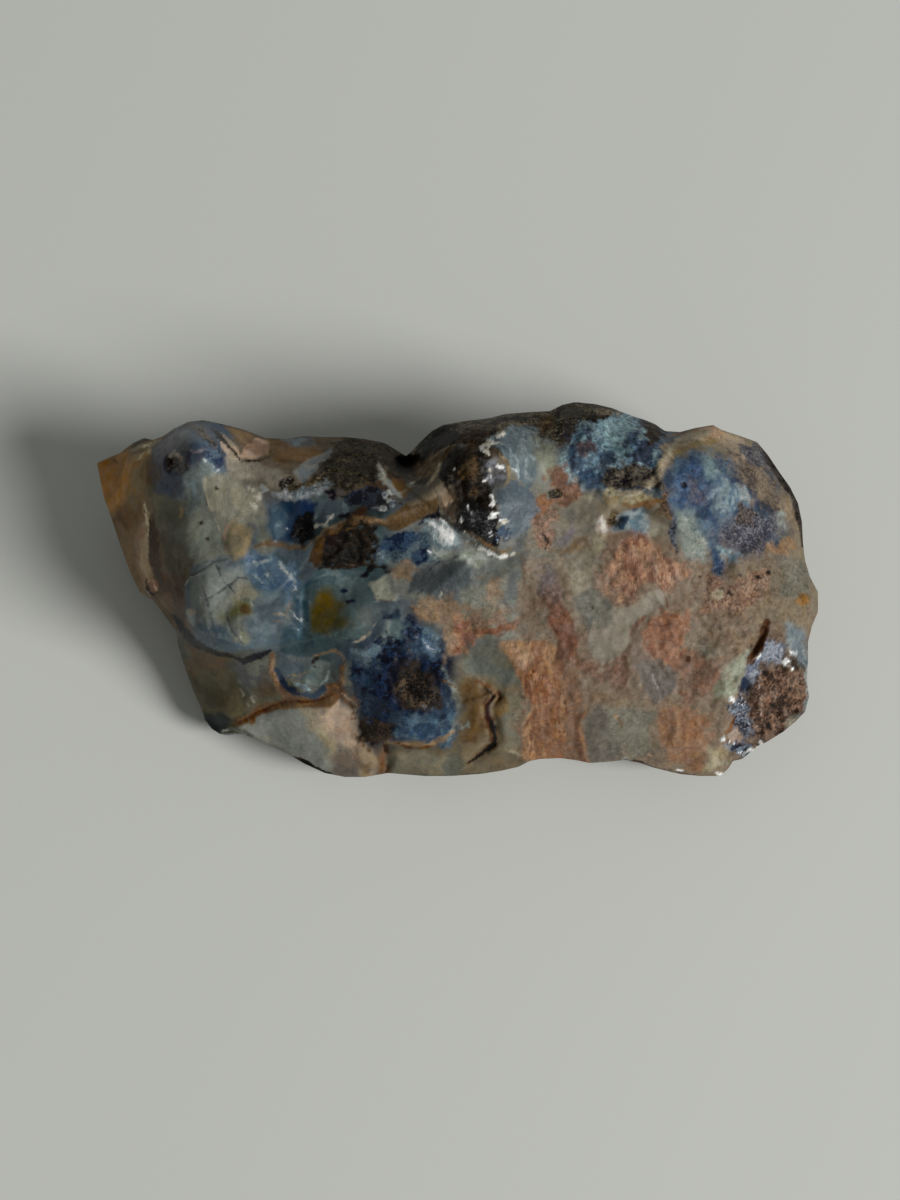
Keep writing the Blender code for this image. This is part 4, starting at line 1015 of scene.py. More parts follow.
# The middle: grey and blue opal below the dome, running out in warm clays
MIDDLE_TOP = [
    area((108, 109, 101), (94, 97, 94), [(386, 556), (420, 546), (460, 552), (520, 552), (556, 560),
         (560, 600), (520, 640), (470, 640), (430, 620), (396, 600)], size=1.5, soft=8, gloss=0.7,
         speck=0.6),
    mottled((56, 68, 88), (84, 96, 108), [(376, 548), (396, 532), (430, 530), (446, 548), (440, 566),
            (396, 566), (382, 562)], size=0.9, soft=4, gloss=0.85),
    mottled(NAVY, (56, 68, 96), [(378, 546), (386, 534), (404, 530), (420, 534), (410, 548), (390, 554)],
            size=0.8, soft=3, gloss=0.85),
    area((22, 30, 56), (60, 72, 100), [(412, 554), (426, 550), (430, 560), (420, 566), (412, 562)],
         size=0.7, soft=3, gloss=0.8),
    area((112, 118, 108), (140, 144, 136), [(430, 546), (456, 552), (484, 552), (480, 566), (450, 566),
         (434, 560)], size=0.7, soft=5, gloss=0.85),
    fibrous((80, 86, 90), (58, 62, 64), [(414, 578), (440, 562), (462, 560), (474, 578), (456, 596),
            (430, 600), (408, 596)], lie=135, size=0.9, soft=4, gloss=0.7),
    *[streak((44, 48, 50), DUSK, path, 3, soft=2) for path in ([(424, 576), (436, 564), (450, 560)],
             [(418, 594), (430, 586)], [(452, 560), (460, 556)])],
    mottled((122, 102, 84), (104, 88, 72), [(392, 568), (410, 562), (420, 570), (410, 584), (394, 580)],
            size=0.8, soft=4, grain=0.2),
    mottled((138, 112, 90), (118, 96, 78), [(404, 608), (430, 598), (450, 594), (466, 606), (464, 626),
            (456, 650), (448, 656), (434, 626), (410, 618)], size=1.1, soft=6, grain=0.25),
    mottled((136, 112, 92), (116, 96, 78), [(478, 574), (494, 570), (504, 590), (496, 608), (482, 596)],
            size=0.9, soft=8),
    mottled((140, 104, 80), BRICK, [(452, 616), (472, 616), (482, 632), (466, 644), (456, 654)], size=0.8,
            soft=4, grain=0.4),
    mottled((108, 100, 86), (118, 94, 78), [(462, 600), (490, 604), (520, 600), (510, 620), (480, 628),
            (462, 616)], size=0.9, soft=5),
    area((88, 96, 96), SAGE, [(512, 626), (536, 612), (546, 620), (534, 636), (514, 638)], size=0.8,
         soft=4),
    streak((124, 84, 66), (98, 60, 46), [(474, 630), (496, 632), (514, 624), (530, 612), (546, 596),
           (552, 584)], 7, pattern="dots", soft=3, grain=0.5),
    *[streak((96, 52, 36), BRICK, path, 1.6, soft=1.2) for path in ([(488, 632), (500, 636), (512, 628)],
             [(524, 618), (536, 606), (546, 592)], [(450, 640), (458, 648), (462, 656)])],
    area((92, 98, 96), SAGE, [(474, 650), (488, 642), (502, 648), (496, 664), (476, 664)], size=1, soft=6,
         gloss=0.7),
    area((84, 88, 88), (104, 108, 102), [(500, 572), (524, 558), (530, 580), (516, 606), (502, 600)],
         size=1, soft=6, gloss=0.7),
    # Painted highlights: pale glints of full gloss
    *[streak(PEARL, GREY, path, 1.8, soft=1.2, gloss=1, cast=0.8, raised=0.05) for path in ( [(476, 564),
             (478, 570)], [(518, 584), (516, 590)], [(440, 592), (442, 598)], [(472, 574), (474, 578)])],
]

# Beige opal at the foot of the middle, with the curved crack
LOW_MIDDLE = [
    area((106, 92, 72), (94, 84, 68), [(388, 752), (430, 752), (460, 738), (462, 690), (462, 660),
         (500, 664), (524, 690), (530, 764), (470, 778), (390, 778)], size=2, soft=6, gloss=0.65),
    area((118, 108, 88), (102, 98, 84), [(390, 752), (420, 754), (446, 750), (448, 776), (392, 778)],
         size=1.6, soft=5, gloss=0.7),
    area((86, 86, 76), SAGE, [(440, 752), (456, 742), (462, 770), (444, 776)], size=1, soft=5, gloss=0.7),
    area((101, 76, 49), (86, 63, 40), [(452, 688), (472, 682), (486, 696), (480, 710), (488, 730),
         (474, 746), (462, 738), (468, 716), (460, 700)], size=1, soft=6, gloss=0.5),
    area((98, 102, 94), (88, 92, 86), [(458, 656), (486, 654), (518, 664), (522, 684), (504, 686),
         (478, 676), (462, 672)], size=1.5, soft=7, gloss=0.65),
    area((108, 102, 88), (98, 96, 84), [(500, 690), (522, 692), (530, 720), (522, 756), (502, 752),
         (504, 720)], size=1.5, soft=5, gloss=0.6),
    area((124, 92, 56), (108, 88, 62), [(494, 700), (506, 698), (508, 710), (498, 720), (492, 712)],
         size=0.7, soft=3),
    streak((92, 58, 32), FOX, [(466, 678), (478, 681), (488, 686), (496, 694)], 3, soft=2),
    streak((60, 34, 18), RUST, [(490, 690), (484, 702), (488, 716), (494, 732), (492, 746), (480, 754),
           (468, 762)], 8, soft=4, cast=0.8),
    streak((12, 7, 6), (36, 18, 10), [(484, 687), (494, 697), (487, 704), (488, 716), (494, 728),
           (495, 742), (487, 750), (476, 757), (468, 762)], 5, soft=1.5, raised=-0.22),
    streak((56, 26, 12), RUST, [(497, 690), (500, 698), (496, 704)], 3, soft=1.5, raised=-0.1),
    streak((150, 136, 100), CREAM, [(498, 746), (510, 752), (524, 758)], 2, soft=1.5),
    streak((104, 70, 44), TAN, [(456, 686), (452, 684), (444, 680)], 2, soft=2),
    streak((64, 64, 56), SAGE, [(392, 773), (420, 776), (470, 777), (510, 771), (528, 762)], 3, soft=2,
           gloss=0.8),
    # Painted highlights: pale glints of full gloss
    *[streak((122, 128, 122), SAGE, path, 2, soft=1.2, gloss=1, raised=0.05) for path in ([(458, 726),
             (462, 722)], [(464, 728), (468, 723)], [(470, 722), (472, 728)])],
]

# Orange and grey clay opal over the whole south east
CLAY = [
    dotted((116, 104, 90), (110, 92, 78), [(520, 560), (600, 540), (700, 560), (760, 600), (740, 680),
           (724, 776), (640, 766), (520, 762), (516, 640)], size=1.4, soft=8, grain=0.35, gloss=0.45),
    fibrous((150, 111, 83), (124, 86, 64), [(500, 642), (520, 640), (544, 640), (566, 660), (566, 700),
            (564, 760), (522, 762), (518, 738), (534, 706), (520, 684), (508, 664)], size=0.9, soft=3,
            grain=0.4, gloss=0.4),
    fibrous((150, 118, 90), APRICOT, [(500, 646), (520, 642), (532, 652), (524, 668), (508, 664)], lie=60,
            size=0.8, soft=4),
    fibrous((118, 78, 58), (142, 100, 74), [(520, 676), (534, 664), (550, 676), (552, 696), (538, 706),
            (524, 696)], lie=40, size=0.6, soft=3, grain=0.4),
    streak((70, 34, 20), BRICK, [(543, 674), (550, 682), (550, 690), (546, 696)], 2.2, soft=1.2,
           raised=-0.1),
    *[streak((92, 54, 38), BRICK, path, 1.6, soft=1.2, cast=0.8) for path in ( [(528, 668), (524, 680),
             (528, 694)], [(532, 672), (530, 684), (536, 696)], [(538, 706), (530, 720), (522, 736)],
             [(552, 700), (548, 720), (546, 750)], [(560, 690), (558, 720), (560, 752)], [(540, 712),
             (534, 730), (530, 752)], [(566, 676), (566, 700), (570, 730)])],
    fibrous((114, 88, 72), (102, 72, 57), [(560, 600), (574, 636), (580, 660), (582, 700), (588, 762),
            (562, 762), (566, 700), (560, 660), (552, 630)], size=0.8, soft=3, grain=0.4),
    dotted((116, 82, 68), (98, 66, 54), [(544, 590), (556, 590), (566, 616), (582, 642), (578, 660),
           (566, 652), (548, 626)], size=0.6, soft=4, grain=0.5),
    streak((80, 48, 36), BRICK, [(549, 618), (556, 632), (568, 642), (574, 656)], 2, soft=1.5,
           raised=-0.05),
    streak((140, 104, 78), ORANGE, [(584, 704), (582, 730), (588, 760)], 6, pattern="fibres", soft=3),
    dotted((92, 86, 86), (110, 92, 84), [(540, 568), (560, 566), (568, 590), (556, 604), (540, 592)],
           size=0.8, soft=5),
    fibrous((122, 114, 100), (114, 106, 94), [(564, 560), (600, 556), (604, 590), (572, 596)], lie=70,
            size=1, soft=5, gloss=0.5),
    area((96, 95, 86), (88, 88, 82), [(572, 596), (596, 590), (610, 606), (606, 630), (590, 642),
         (578, 620)], size=1.4, soft=4, gloss=0.6),
    area((120, 113, 102), (111, 106, 96), [(592, 618), (612, 606), (636, 600), (664, 590), (664, 608),
         (638, 620), (628, 640), (620, 660), (604, 667), (590, 654), (584, 636)], size=1.4, soft=2.5,
         gloss=0.65, raised=0.05),
    streak((70, 44, 36), RUST, [(660, 586), (665, 598), (668, 610)], 2.6, soft=1.5),
    streak((88, 82, 76), SEPIA, [(636, 608), (640, 614), (640, 622)], 1.8, soft=1.2),
    streak((142, 134, 122), CREAM, [(612, 604), (632, 600), (656, 592)], 1.8, soft=1.5, raised=0.08),
    streak((84, 76, 66), SEPIA, [(580, 612), (584, 624), (588, 634)], 1.6, soft=1.2),
    dotted((112, 86, 72), (96, 72, 62), [(584, 656), (604, 670), (624, 658), (634, 676), (622, 690),
           (598, 684), (584, 672)], size=0.8, soft=5, grain=0.5),
    fibrous((120, 82, 66), (146, 110, 90), [(620, 556), (640, 534), (656, 540), (672, 556), (690, 560),
            (690, 578), (668, 586), (636, 600), (612, 596), (606, 574)], lie=70, size=0.5, soft=5,
            grain=0.5, raised=0.04),
    *[streak((168, 138, 118), APRICOT, path, 2.4, soft=2, cast=0.8, raised=0.08) for path in ( [(640, 540),
             (646, 552), (650, 566)], [(646, 536), (654, 548), (662, 562)], [(652, 560), (658, 570),
             (656, 578)], [(634, 546), (638, 558)])],
    dotted((120, 96, 82), (136, 106, 88), [(598, 576), (620, 590), (650, 596), (640, 604), (612, 600),
           (598, 592)], size=0.8, soft=5, grain=0.4),
    dotted((142, 102, 82), (118, 80, 64), [(644, 622), (664, 612), (688, 618), (692, 640), (684, 656),
           (676, 668), (652, 662), (642, 642)], size=0.9, soft=3, grain=0.5),
    streak((84, 52, 42), BRICK, [(650, 614), (634, 626), (628, 642), (627, 658)], 3, soft=1.5,
           raised=-0.04),
    dotted((108, 94, 84), (98, 82, 74), [(630, 628), (642, 624), (642, 650), (650, 664), (636, 672),
           (628, 650)], size=0.8, soft=4, grain=0.3),
    area((97, 91, 85), (90, 84, 80), [(638, 664), (662, 660), (676, 672), (674, 686), (664, 700),
         (654, 704), (644, 684)], size=1.2, soft=2.5, gloss=0.55),
    *[streak((126, 124, 124), GREY, path, 1.4, soft=1.2) for path in ([(646, 672), (652, 688), (658, 702)],
             [(652, 668), (656, 684), (660, 698)])],
    dotted((124, 90, 74), (104, 84, 72), [(674, 660), (694, 654), (714, 664), (716, 684), (700, 704),
           (680, 706), (676, 684)], size=0.8, soft=4, grain=0.5),
    dotted((142, 108, 84), (124, 90, 72), [(664, 706), (690, 704), (714, 716), (712, 740), (704, 772),
           (668, 768), (662, 740)], size=1, soft=5, grain=0.35),
    dotted((132, 92, 64), ORANGE, [(684, 722), (704, 716), (704, 740), (690, 748)], size=0.8, soft=6,
           grain=0.35),
    dotted((116, 100, 86), (106, 92, 80), [(640, 744), (664, 742), (668, 770), (646, 764)], size=0.9,
           soft=5),
    area((100, 96, 88), (90, 88, 84), [(586, 700), (604, 706), (622, 728), (624, 752), (600, 762),
         (588, 742)], size=1.4, soft=5, gloss=0.55, speck=0.6),
    area((108, 106, 94), (100, 98, 88), [(604, 698), (640, 700), (658, 712), (654, 744), (630, 752),
         (614, 730)], size=1.2, soft=6, gloss=0.55, speck=0.6),
    dotted((118, 102, 84), (110, 92, 76), [(588, 684), (620, 690), (636, 700), (612, 706), (592, 698)],
           size=0.9, soft=5),
    streak((92, 72, 54), SEPIA, [(616, 714), (621, 722), (625, 730)], 1.8, soft=1.2),
    *[oval((186, 148, 104), APRICOT, (x, y), (2, 1.6), soft=1) for x, y in ((616, 716), (564, 733),
           (650, 756), (622, 600))],
    oval((70, 24, 20), RUST, (688, 659), (3, 2.6), soft=1),
    *[oval(UMBER, RUST, (x, y), (1.8, 1.5), soft=1) for x, y in ((534, 672), (524, 696), (592, 608),
           (700, 576), (612, 640))],
    area((108, 104, 92), (118, 106, 92), [(696, 634), (722, 624), (736, 640), (730, 658), (706, 664),
         (694, 652)], size=1, soft=5, gloss=0.5, speck=0.8),
]

# The north edge: knobs of ironstone, pale blue opal, and the blue and dark crest
CREST = [
    grainy((32, 28, 23), (100, 90, 72), [(408, 454), (440, 424), (480, 414), (560, 402), (560, 420),
           (510, 426), (470, 436), (448, 450), (424, 464)], size=0.8, soft=3, grain=0.7, gloss=0.35),
    grainy((14, 12, 10), (34, 27, 20), [(428, 440), (440, 424), (454, 430), (452, 442), (440, 452),
           (430, 452)], soft=3, grain=0.6, gloss=0.3),
    area((88, 84, 74), DUSK, [(446, 452), (466, 438), (484, 430), (486, 436), (464, 448)], size=0.8,
         soft=3),
    mottled((76, 54, 32), (98, 74, 46), [(414, 470), (424, 456), (440, 450), (458, 442), (450, 456),
            (440, 472), (424, 478)], size=0.7, soft=3, grain=0.3),
    grainy(BLACK, UMBER, [(412, 458), (430, 434), (444, 426), (456, 432), (452, 446), (434, 454),
           (420, 462)], cover=0.35, soft=3, grain=0.7, gloss=0.3),
    streak((128, 106, 76), TAN, [(430, 458), (440, 451), (456, 443), (474, 434)], 3, soft=2, raised=0.1),
    grainy((28, 22, 16), (64, 48, 32), [(450, 444), (470, 432), (484, 426), (500, 424), (486, 440),
           (466, 446)], cover=0.4, soft=3, grain=0.7, gloss=0.4),
    streak((104, 106, 102), DUSK, [(478, 419), (500, 413), (528, 410)], 4, soft=2),
    streak(BLACK, UMBER, [(482, 424), (510, 419), (544, 418)], 4, soft=2),
    fibrous((98, 108, 114), (80, 92, 104), [(484, 438), (508, 424), (540, 424), (550, 446), (546, 468),
            (530, 490), (514, 470), (500, 446)], lie=110, size=1, soft=3, gloss=0.9),
    area((120, 122, 108), (108, 112, 106), [(536, 430), (554, 438), (560, 466), (548, 486), (538, 466)],
         size=1, soft=6, gloss=0.8),
    grainy((32, 28, 23), (106, 96, 78), [(536, 420), (556, 408), (590, 400), (640, 412), (624, 424),
           (580, 424), (560, 442), (540, 432)], size=0.6, soft=2.5, grain=0.8, gloss=0.3),
    area((74, 70, 60), (58, 54, 46), [(556, 410), (574, 403), (592, 408), (576, 416), (560, 418)], size=0.6,
         soft=3, grain=0.5),
    grainy((14, 13, 14), UMBER, [(582, 414), (604, 408), (618, 416), (606, 424), (586, 424)], soft=3,
           grain=0.6),
    grainy((96, 76, 50), UMBER, [(540, 418), (552, 416), (554, 428), (544, 434)], soft=2.5, grain=0.7),
    mottled((96, 114, 140), (134, 150, 164), [(562, 448), (578, 422), (606, 416), (618, 411), (634, 412),
            (644, 424), (664, 440), (664, 460), (640, 470), (614, 474), (602, 494), (590, 488), (574, 466)],
            size=0.65, soft=3, gloss=0.8),
    mottled((132, 150, 162), (106, 124, 144), [(600, 422), (626, 415), (636, 440), (628, 460), (616, 462),
            (606, 440)], size=0.6, soft=6, gloss=0.8),
    *[grainy(colour, (44, 48, 62), [(x - w, y + 2), (x - 2, y - h), (x + w, y - 2), (x + 1, y + h)],
             cover=0.45, soft=3, grain=0.7, gloss=0.5) for x, y, w, h, colour in ((566, 434, 9, 12,
             (60, 48, 40)), (584, 450, 15, 9, (90, 74, 74)), (650, 428, 10, 12, (60, 48, 38)), (644, 452,
             14, 14, (58, 68, 98)), (632, 440, 8, 7, (60, 76, 106)), (578, 466, 13, 9, (66, 84, 112)), (594,
             484, 13, 12, (62, 80, 112)), (588, 434, 9, 6, (64, 70, 88)), (612, 458, 8, 8, (70, 84, 108)),
             (660, 446, 9, 8, (74, 88, 114)), (570, 452, 8, 6, (60, 76, 104)), (606, 470, 8, 7,
             (70, 82, 100)))],
    grainy((22, 18, 16), (58, 44, 32), [(644, 436), (648, 424), (658, 425), (666, 434), (660, 444),
           (650, 446)], cover=0.4, soft=2.5, grain=0.8, gloss=0.4),
    grainy((82, 74, 62), (22, 20, 22), [(604, 486), (614, 468), (640, 460), (660, 470), (662, 486),
           (640, 486), (614, 494)], cover=0.45, soft=2.5, grain=1, gloss=0.35),
    area((138, 156, 168), ICE, [(556, 446), (564, 446), (574, 470), (590, 494), (582, 498), (568, 480)],
         size=0.8, soft=4, gloss=0.85),
    area((146, 142, 122), (122, 118, 102), [(584, 494), (598, 494), (600, 520), (592, 532), (586, 512)],
         size=0.8, soft=4, gloss=0.7),
]

# Clay and rusty opal between the dome and the arch
EAST_MIDDLE = [
    dotted((116, 108, 94), (102, 99, 90), [(524, 520), (560, 496), (596, 504), (604, 540), (604, 566),
           (560, 564), (526, 556)], size=1.2, soft=7, grain=0.25, gloss=0.5),
    dotted((124, 92, 74), (104, 74, 60), [(552, 470), (562, 464), (568, 484), (580, 484), (584, 496),
           (566, 504), (552, 500)], size=0.8, soft=4, grain=0.6),
    dotted((120, 82, 56), BRICK, [(534, 494), (546, 492), (550, 512), (540, 520), (533, 510)], size=0.8,
           soft=3.5, grain=0.5),
    dotted((104, 80, 68), (128, 98, 82), [(536, 516), (558, 512), (562, 534), (552, 550), (538, 540)],
           size=0.8, soft=4, grain=0.6),
    dotted((112, 90, 68), (98, 84, 68), [(556, 548), (590, 542), (596, 552), (560, 556)], size=0.8, soft=4),
    oval(BLACK, (84, 74, 58), (555, 494), (6, 4.4), soft=1.5, pattern="grain", cover=0.35, raised=0.1,
         grain=0.8),
    *[streak(BLACK, UMBER, path, 1.8, soft=1.2, raised=-0.1) for path in ([(544, 534), (548, 542),
             (544, 551)], [(547, 540), (551, 545)])],
    area((98, 94, 96), (112, 104, 98), [(560, 530), (576, 526), (582, 540), (566, 546)], size=0.9, soft=5),
    # Painted highlight: a pale glint, slightly raised
    area((150, 138, 128), (170, 166, 160), [(598, 524), (606, 518), (612, 534), (608, 540), (600, 534)],
         size=0.5, soft=2.5, raised=0.1, gloss=0.85),
    area((140, 130, 106), TAN, [(598, 546), (612, 546), (612, 560), (602, 562)], size=0.7, soft=4),
    mottled((144, 134, 110), (120, 104, 76), [(600, 500), (616, 492), (640, 486), (650, 492), (664, 500),
            (662, 508), (636, 506), (618, 510), (606, 516)], size=0.8, soft=3, raised=0.08, gloss=0.6),
    area((176, 170, 150), CREAM, [(616, 494), (632, 487), (644, 486), (638, 496), (622, 500)], size=0.6,
         soft=3, gloss=0.7),
    mottled((112, 80, 54), (92, 66, 44), [(620, 506), (640, 500), (660, 496), (664, 506), (650, 510),
            (630, 508)], size=0.8, soft=2.5),
    # Painted shadow under the cream rim: a dark grainy spot in the small hollow there and a black arc along
    # the rim's foot
    oval((40, 30, 20), (96, 82, 58), (614, 518), (6, 7), soft=2.5, pattern="grain", cover=0.35,
         raised=-0.15, grain=0.6),
    streak(BLACK, (40, 50, 70), [(618, 522), (626, 514), (634, 510), (645, 510)], 4, soft=1.5,
           pattern="mottle"),
    area((98, 114, 134), (122, 132, 138), [(619, 536), (628, 518), (644, 512), (656, 524), (658, 540),
         (640, 538)], size=0.8, soft=4, gloss=0.75),
    area((52, 64, 90), STEEL, [(619, 534), (624, 522), (632, 520), (628, 534)], size=0.6, soft=3),
    grainy((50, 38, 28), (96, 70, 48), [(658, 500), (670, 488), (676, 508), (672, 522), (660, 512)], soft=3,
           grain=0.6),
    area((118, 116, 106), (132, 128, 112), [(654, 524), (668, 520), (672, 540), (660, 546)], size=0.9,
         soft=5, gloss=0.6),
    streak((36, 36, 52), (84, 92, 108), [(676, 506), (677, 524), (672, 536), (678, 550)], 7,
           pattern="grain", cover=0.4, soft=2.5),
]

# The blue knob and the rough east end
EAST_TOP = [
    area((146, 130, 112), (128, 110, 90), [(664, 470), (662, 456), (674, 444), (700, 430), (722, 428),
         (744, 440), (756, 470), (730, 462), (700, 446), (680, 456)], size=1, soft=4, gloss=0.55,
         speck=0.8),
    dotted((152, 122, 100), APRICOT, [(690, 432), (718, 426), (722, 438), (706, 444)], size=0.8, soft=3,
           grain=0.3),
    streak((116, 82, 60), TAN, [(668, 436), (684, 433), (698, 429)], 2.6, soft=1.5),
    area((116, 98, 66), (98, 80, 54), [(670, 466), (678, 452), (694, 444), (716, 446), (700, 454),
         (682, 462)], size=0.8, soft=4),
    mottled((80, 94, 122), (56, 68, 98), [(672, 480), (684, 458), (704, 452), (720, 470), (752, 488),
            (760, 506), (740, 520), (716, 528), (690, 528), (676, 510)], size=0.7, soft=5, gloss=0.7),
    mottled((54, 68, 106), (72, 88, 122), [(674, 484), (688, 464), (704, 472), (706, 500), (686, 508)],
            size=0.9, soft=4, gloss=0.7),
    grainy((98, 90, 94), (46, 50, 76), [(688, 478), (700, 480), (706, 500), (694, 504)], cover=0.5, soft=5,
           grain=0.5, cast=0.8),
    oval(BLACK, INK, (684, 484), (4.5, 3.6), soft=2, raised=-0.15),
    area((136, 148, 142), (112, 126, 134), [(700, 452), (710, 456), (716, 476), (708, 484), (702, 470)],
         size=0.9, soft=5, gloss=0.7),
    mottled((44, 56, 84), (76, 90, 112), [(714, 460), (728, 458), (734, 470), (722, 474)], size=0.8,
            soft=4),
    mottled((118, 128, 138), (88, 102, 124), [(718, 480), (750, 484), (752, 504), (732, 520), (716, 510)],
            size=0.6, soft=6, gloss=0.7),
    area((138, 142, 138), ICE, [(738, 486), (750, 486), (752, 500), (742, 502)], size=0.7, soft=3,
         gloss=0.7),
    area((112, 122, 118), (124, 130, 122), [(680, 514), (698, 514), (712, 540), (704, 560), (688, 556),
         (680, 540)], size=1.1, soft=7, gloss=0.6),
    mottled((90, 104, 124), (60, 72, 98), [(712, 532), (724, 528), (724, 546), (730, 566), (728, 588),
            (718, 590), (712, 560)], size=0.8, soft=4, gloss=0.65),
    oval((28, 40, 76), (66, 82, 116), (721, 570), (9, 17), soft=4, pattern="mottle", size=0.8),
    mottled((136, 148, 156), (104, 120, 140), [(722, 548), (742, 548), (744, 560), (730, 566), (722, 560)],
            size=0.8, soft=3.5, gloss=0.75),
    dotted((116, 100, 84), (62, 54, 50), [(722, 456), (750, 456), (770, 472), (790, 500), (796, 530),
           (776, 520), (756, 500), (732, 474)], size=0.8, soft=8, grain=0.6, gloss=0.4, speck=1.0),
    grainy((50, 50, 60), (88, 86, 88), [(736, 444), (758, 444), (770, 462), (752, 464), (738, 456)],
           size=0.6, soft=3, grain=0.4),
    grainy((50, 50, 62), (94, 93, 98), [(722, 534), (740, 512), (776, 510), (788, 530), (770, 550),
           (752, 562), (738, 548)], cover=0.42, soft=8, grain=0.8, gloss=0.5),
    grainy((36, 34, 38), (84, 74, 68), [(738, 508), (754, 512), (756, 526), (740, 528)], soft=3, grain=0.6),
    dotted((140, 110, 84), (116, 88, 68), [(764, 556), (780, 540), (798, 538), (800, 550), (780, 558)],
           size=0.8, soft=3, grain=0.4),
    dotted((124, 110, 94), TAN, [(780, 496), (792, 498), (798, 524), (788, 516)], size=0.8, soft=3),
    area((120, 128, 126), GREY, [(776, 512), (786, 510), (788, 530), (778, 530)], size=0.6, soft=4),
    streak((24, 20, 18), (50, 44, 40), [(758, 444), (770, 462), (784, 482), (796, 500), (802, 524),
           (804, 546)], 8, pattern="grain", soft=2, grain=0.6),
]

